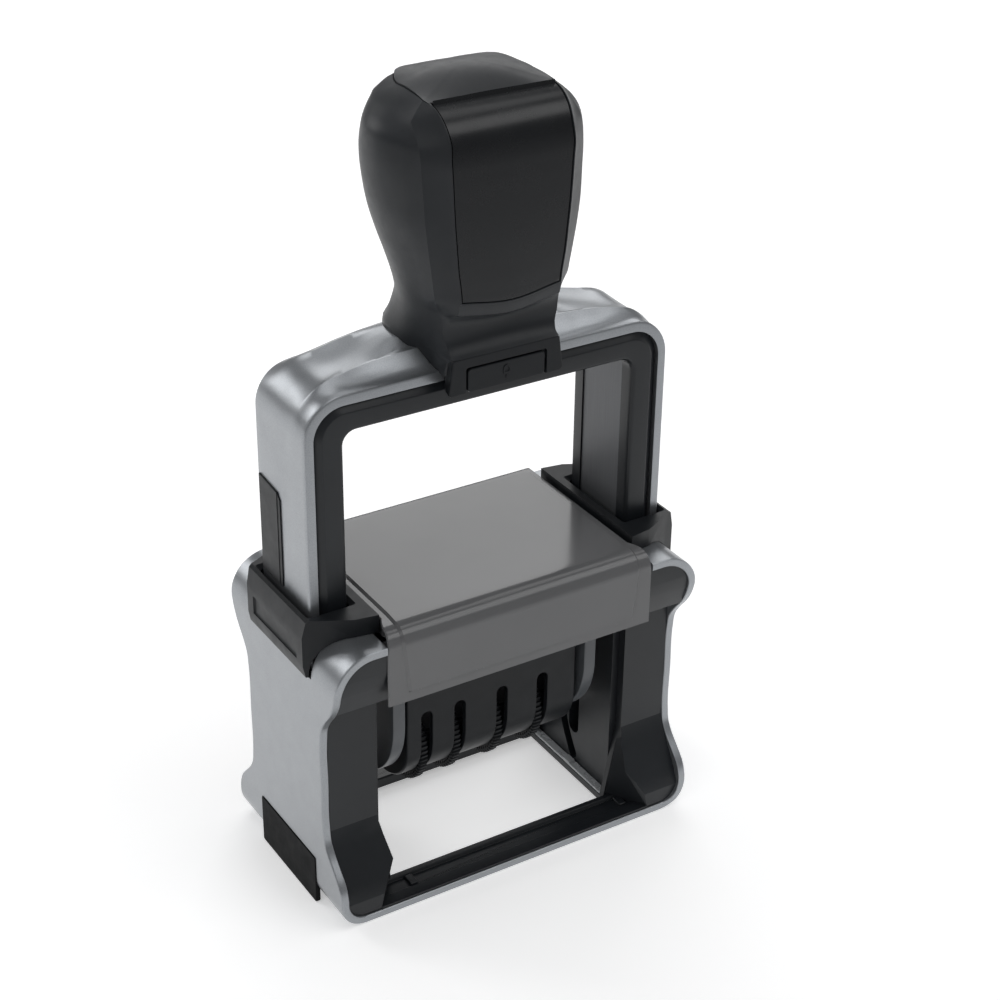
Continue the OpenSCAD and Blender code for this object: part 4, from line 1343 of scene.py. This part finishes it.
def make_felt():
    """Ink pad: a felt block whose printing face bulges a little between its edges."""
    rim = box_outline(PAD.x0, PAD.x1, PAD.y0, PAD.y1, 1.2, 5)
    rings = [[(x, y, PAD.z1) for x, y in inset(rim, 0.3)], [(x, y, PAD.z1 - 0.3) for x, y in rim],
             [(x, y, PAD.z0 + 0.75) for x, y in rim]]
    for share, z in ((0.985, 0.5), (0.95, 0.32), (0.88, 0.18), (0.7, 0.07), (0.45, 0.02), (0.2, 0.0)):
        rings.append([(x * share, y * share, PAD.z0 + z) for x, y in rim])
    felt_pad = loft("ink_pad_felt", rings)
    piece(felt_pad, "ink_cartridge", "ink_felt", "ink_pad_felt", angle=60)


make_cartridge()
make_felt()

# ---- Return springs ----

SPRING_TURNS = 22
CLOSED_TURNS = 1.5
WIRE_R = 0.35


def make_spring(name):
    """Spring with closed ends; on the stamp its foot stays on the base and its top goes down with the press
    frame, but here it is drawn at rest and belongs to no body.
    """
    node = Span("return_spring_" + name)
    x, y = 0.5 * (node.x0 + node.x1), 0.5 * (node.y0 + node.y1)
    coil_r = 0.5 * (node.x1 - node.x0) - WIRE_R
    closed = 2 * WIRE_R * CLOSED_TURNS
    bottom, top = node.z0 + WIRE_R, node.z1 - WIRE_R
    per_turn, sides = 24, 8
    # A little under the wire's size, so that the closed turns stay apart
    wire_r = WIRE_R * 0.96
    rings = []
    for i in range(SPRING_TURNS * per_turn + 1):
        turn = i / per_turn
        z = float(np.interp(turn, (0, CLOSED_TURNS, SPRING_TURNS - CLOSED_TURNS, SPRING_TURNS),
                            (bottom, bottom + closed, top - closed, top)))
        a = 2 * math.pi * turn
        ring = []
        for k in range(sides):
            t = 2 * math.pi * k / sides
            r = coil_r + wire_r * math.cos(t)
            ring.append((x + r * math.cos(a), y + r * math.sin(a), z + wire_r * math.sin(t)))
        rings.append(ring)
    spring = loft("return_spring_" + name, rings)
    piece(spring, None, "steel", "return_spring_" + name, angle=60, weighted=False)
    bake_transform(spring)


for side_name in ("left", "right"):
    make_spring(side_name)

# ---- CAD nodes that keep their own shape ----

CARRIED = {
    "steel": ("spring_rod_left", "spring_rod_right", "pivot_pin_left", "pivot_pin_right", "saddle_screws",
              "band_bridge", "wheel_axle"),
    "core_grey": ("bar_core", "leg_core_left", "leg_core_right"),
    "satin_black": ("cam_wall_left", "cam_wall_right"),
    "black_plastic": ("pad_rail_left", "pad_rail_right"),
}


def dress_carried_nodes():
    """Gives each CAD node that is shown its material."""
    for slot_name, nodes in CARRIED.items():
        for node in nodes:
            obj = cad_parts[node]
            obj.data.materials.clear()
            obj.data.materials.append(MATERIALS[slot_name])


dress_carried_nodes()

# ---- Camera, light and floor ----

# Place of the camera, its direction in degrees, and its lens
CAMERA_AT = (-196.265, -326.669, 290.864)
CAMERA_AZIMUTH = -32.084
CAMERA_ELEVATION = 29.007
CAMERA_ROLL = 0.812
LENS = 75.28


def make_camera():
    azimuth, elevation = math.radians(CAMERA_AZIMUTH), math.radians(CAMERA_ELEVATION)
    level = math.cos(elevation)
    back = Vector((math.sin(azimuth) * level, -math.cos(azimuth) * level, math.sin(elevation)))
    right = Vector((0, 0, 1)).cross(back).normalized()
    up = back.cross(right)
    frame_axes = Matrix((right, up, back)).transposed() @ Matrix.Rotation(math.radians(CAMERA_ROLL), 3, "Z")
    data = bpy.data.cameras.new("camera")
    data.lens = LENS
    data.sensor_width = 36
    data.clip_start, data.clip_end = 0.01, 20
    camera = bpy.data.objects.new("camera", data)
    camera.matrix_world = Matrix.Translation(Vector(CAMERA_AT) * MM) @ frame_axes.to_4x4()
    bpy.context.scene.collection.objects.link(camera)
    bpy.context.scene.camera = camera


def make_light(name, at, aim, size, power):
    """Soft box at a place, aimed at a point, with its size in metres."""
    data = bpy.data.lights.new(name, "AREA")
    data.shape = "RECTANGLE"
    data.size, data.size_y = size
    data.energy = power
    light = bpy.data.objects.new(name, data)
    light.location = at
    light.rotation_mode = "QUATERNION"
    light.rotation_quaternion = (Vector(aim) - Vector(at)).to_track_quat("-Z", "Y")
    bpy.context.scene.collection.objects.link(light)


def make_stage():
    """Pale floor that glows in its own colour, painted light that lifts the shadows on it and lights the
    object from below; darker in front of the object and out of view, so that the black fronts stay dark.
    """
    half = 2.5
    mesh = bpy.data.meshes.new("floor")
    corners = [(-half, -half, 0), (half, -half, 0), (half, half, 0), (-half, half, 0)]
    mesh.from_pydata(corners, [], [(0, 1, 2, 3)])
    floor = new_object("floor", mesh)
    m = Nodes("floor")
    split = m.tree.nodes.new("ShaderNodeSeparateXYZ")
    m.link(m.coords, split.inputs["Vector"])
    m.colours(m.remap(split.outputs["Y"], 0, 1, -0.42, -0.12), (0.34, 0.34, 0.345), (0.94, 0.94, 0.94), 0, 1)
    glow = m.shader.inputs["Base Color"].links[0].from_socket
    # Painted light: the floor's colour also drives its glow, so the floor shines though it is no lamp
    m.link(glow, m.shader.inputs["Emission Color"])
    m.set(Roughness=0.9, Specular_IOR_Level=0.1, Emission_Strength=0.40)
    floor.data.materials.append(m.material)


def make_world():
    """Even pale surroundings."""
    world = bpy.data.worlds.new("studio")
    world.use_nodes = True
    tree = world.node_tree
    background = tree.nodes["Background"]
    coords = tree.nodes.new("ShaderNodeTexCoord")
    split = tree.nodes.new("ShaderNodeSeparateXYZ")
    ramp = tree.nodes.new("ShaderNodeValToRGB")
    ramp.color_ramp.elements[0].position = 0.0
    ramp.color_ramp.elements[0].color = (0.95, 0.95, 0.96, 1)
    ramp.color_ramp.elements[1].position = 0.9
    ramp.color_ramp.elements[1].color = (0.85, 0.86, 0.88, 1)
    tree.links.new(coords.outputs["Generated"], split.inputs["Vector"])
    tree.links.new(split.outputs["Z"], ramp.inputs["Fac"])
    tree.links.new(ramp.outputs["Color"], background.inputs["Color"])
    background.inputs["Strength"].default_value = 0.24
    bpy.context.scene.world = world


make_camera()
make_stage()
make_world()
make_light("key_left", (-0.9, -0.5, 0.9), (0, 0, 0.07), (0.7, 0.9), 1.9)
make_light("top", (0.1, 0.1, 1.3), (0, 0, 0.08), (1.1, 1.1), 4.4)
make_light("right", (1.0, -0.1, 0.5), (0, 0, 0.07), (0.5, 0.9), 0.8)
make_light("rear_right", (0.62, 1.0, 0.75), (0, 0, 0.09), (0.9, 0.6), 3.4)
make_light("rear_left", (-0.62, 0.95, 0.62), (0, 0, 0.09), (0.35, 0.6), 2.6)
make_light("front_strip", (0.5, -0.58, 0.92), (0, 0, 0.09), (0.9, 0.42), 2.2)
bpy.context.scene.view_settings.view_transform = "Standard"
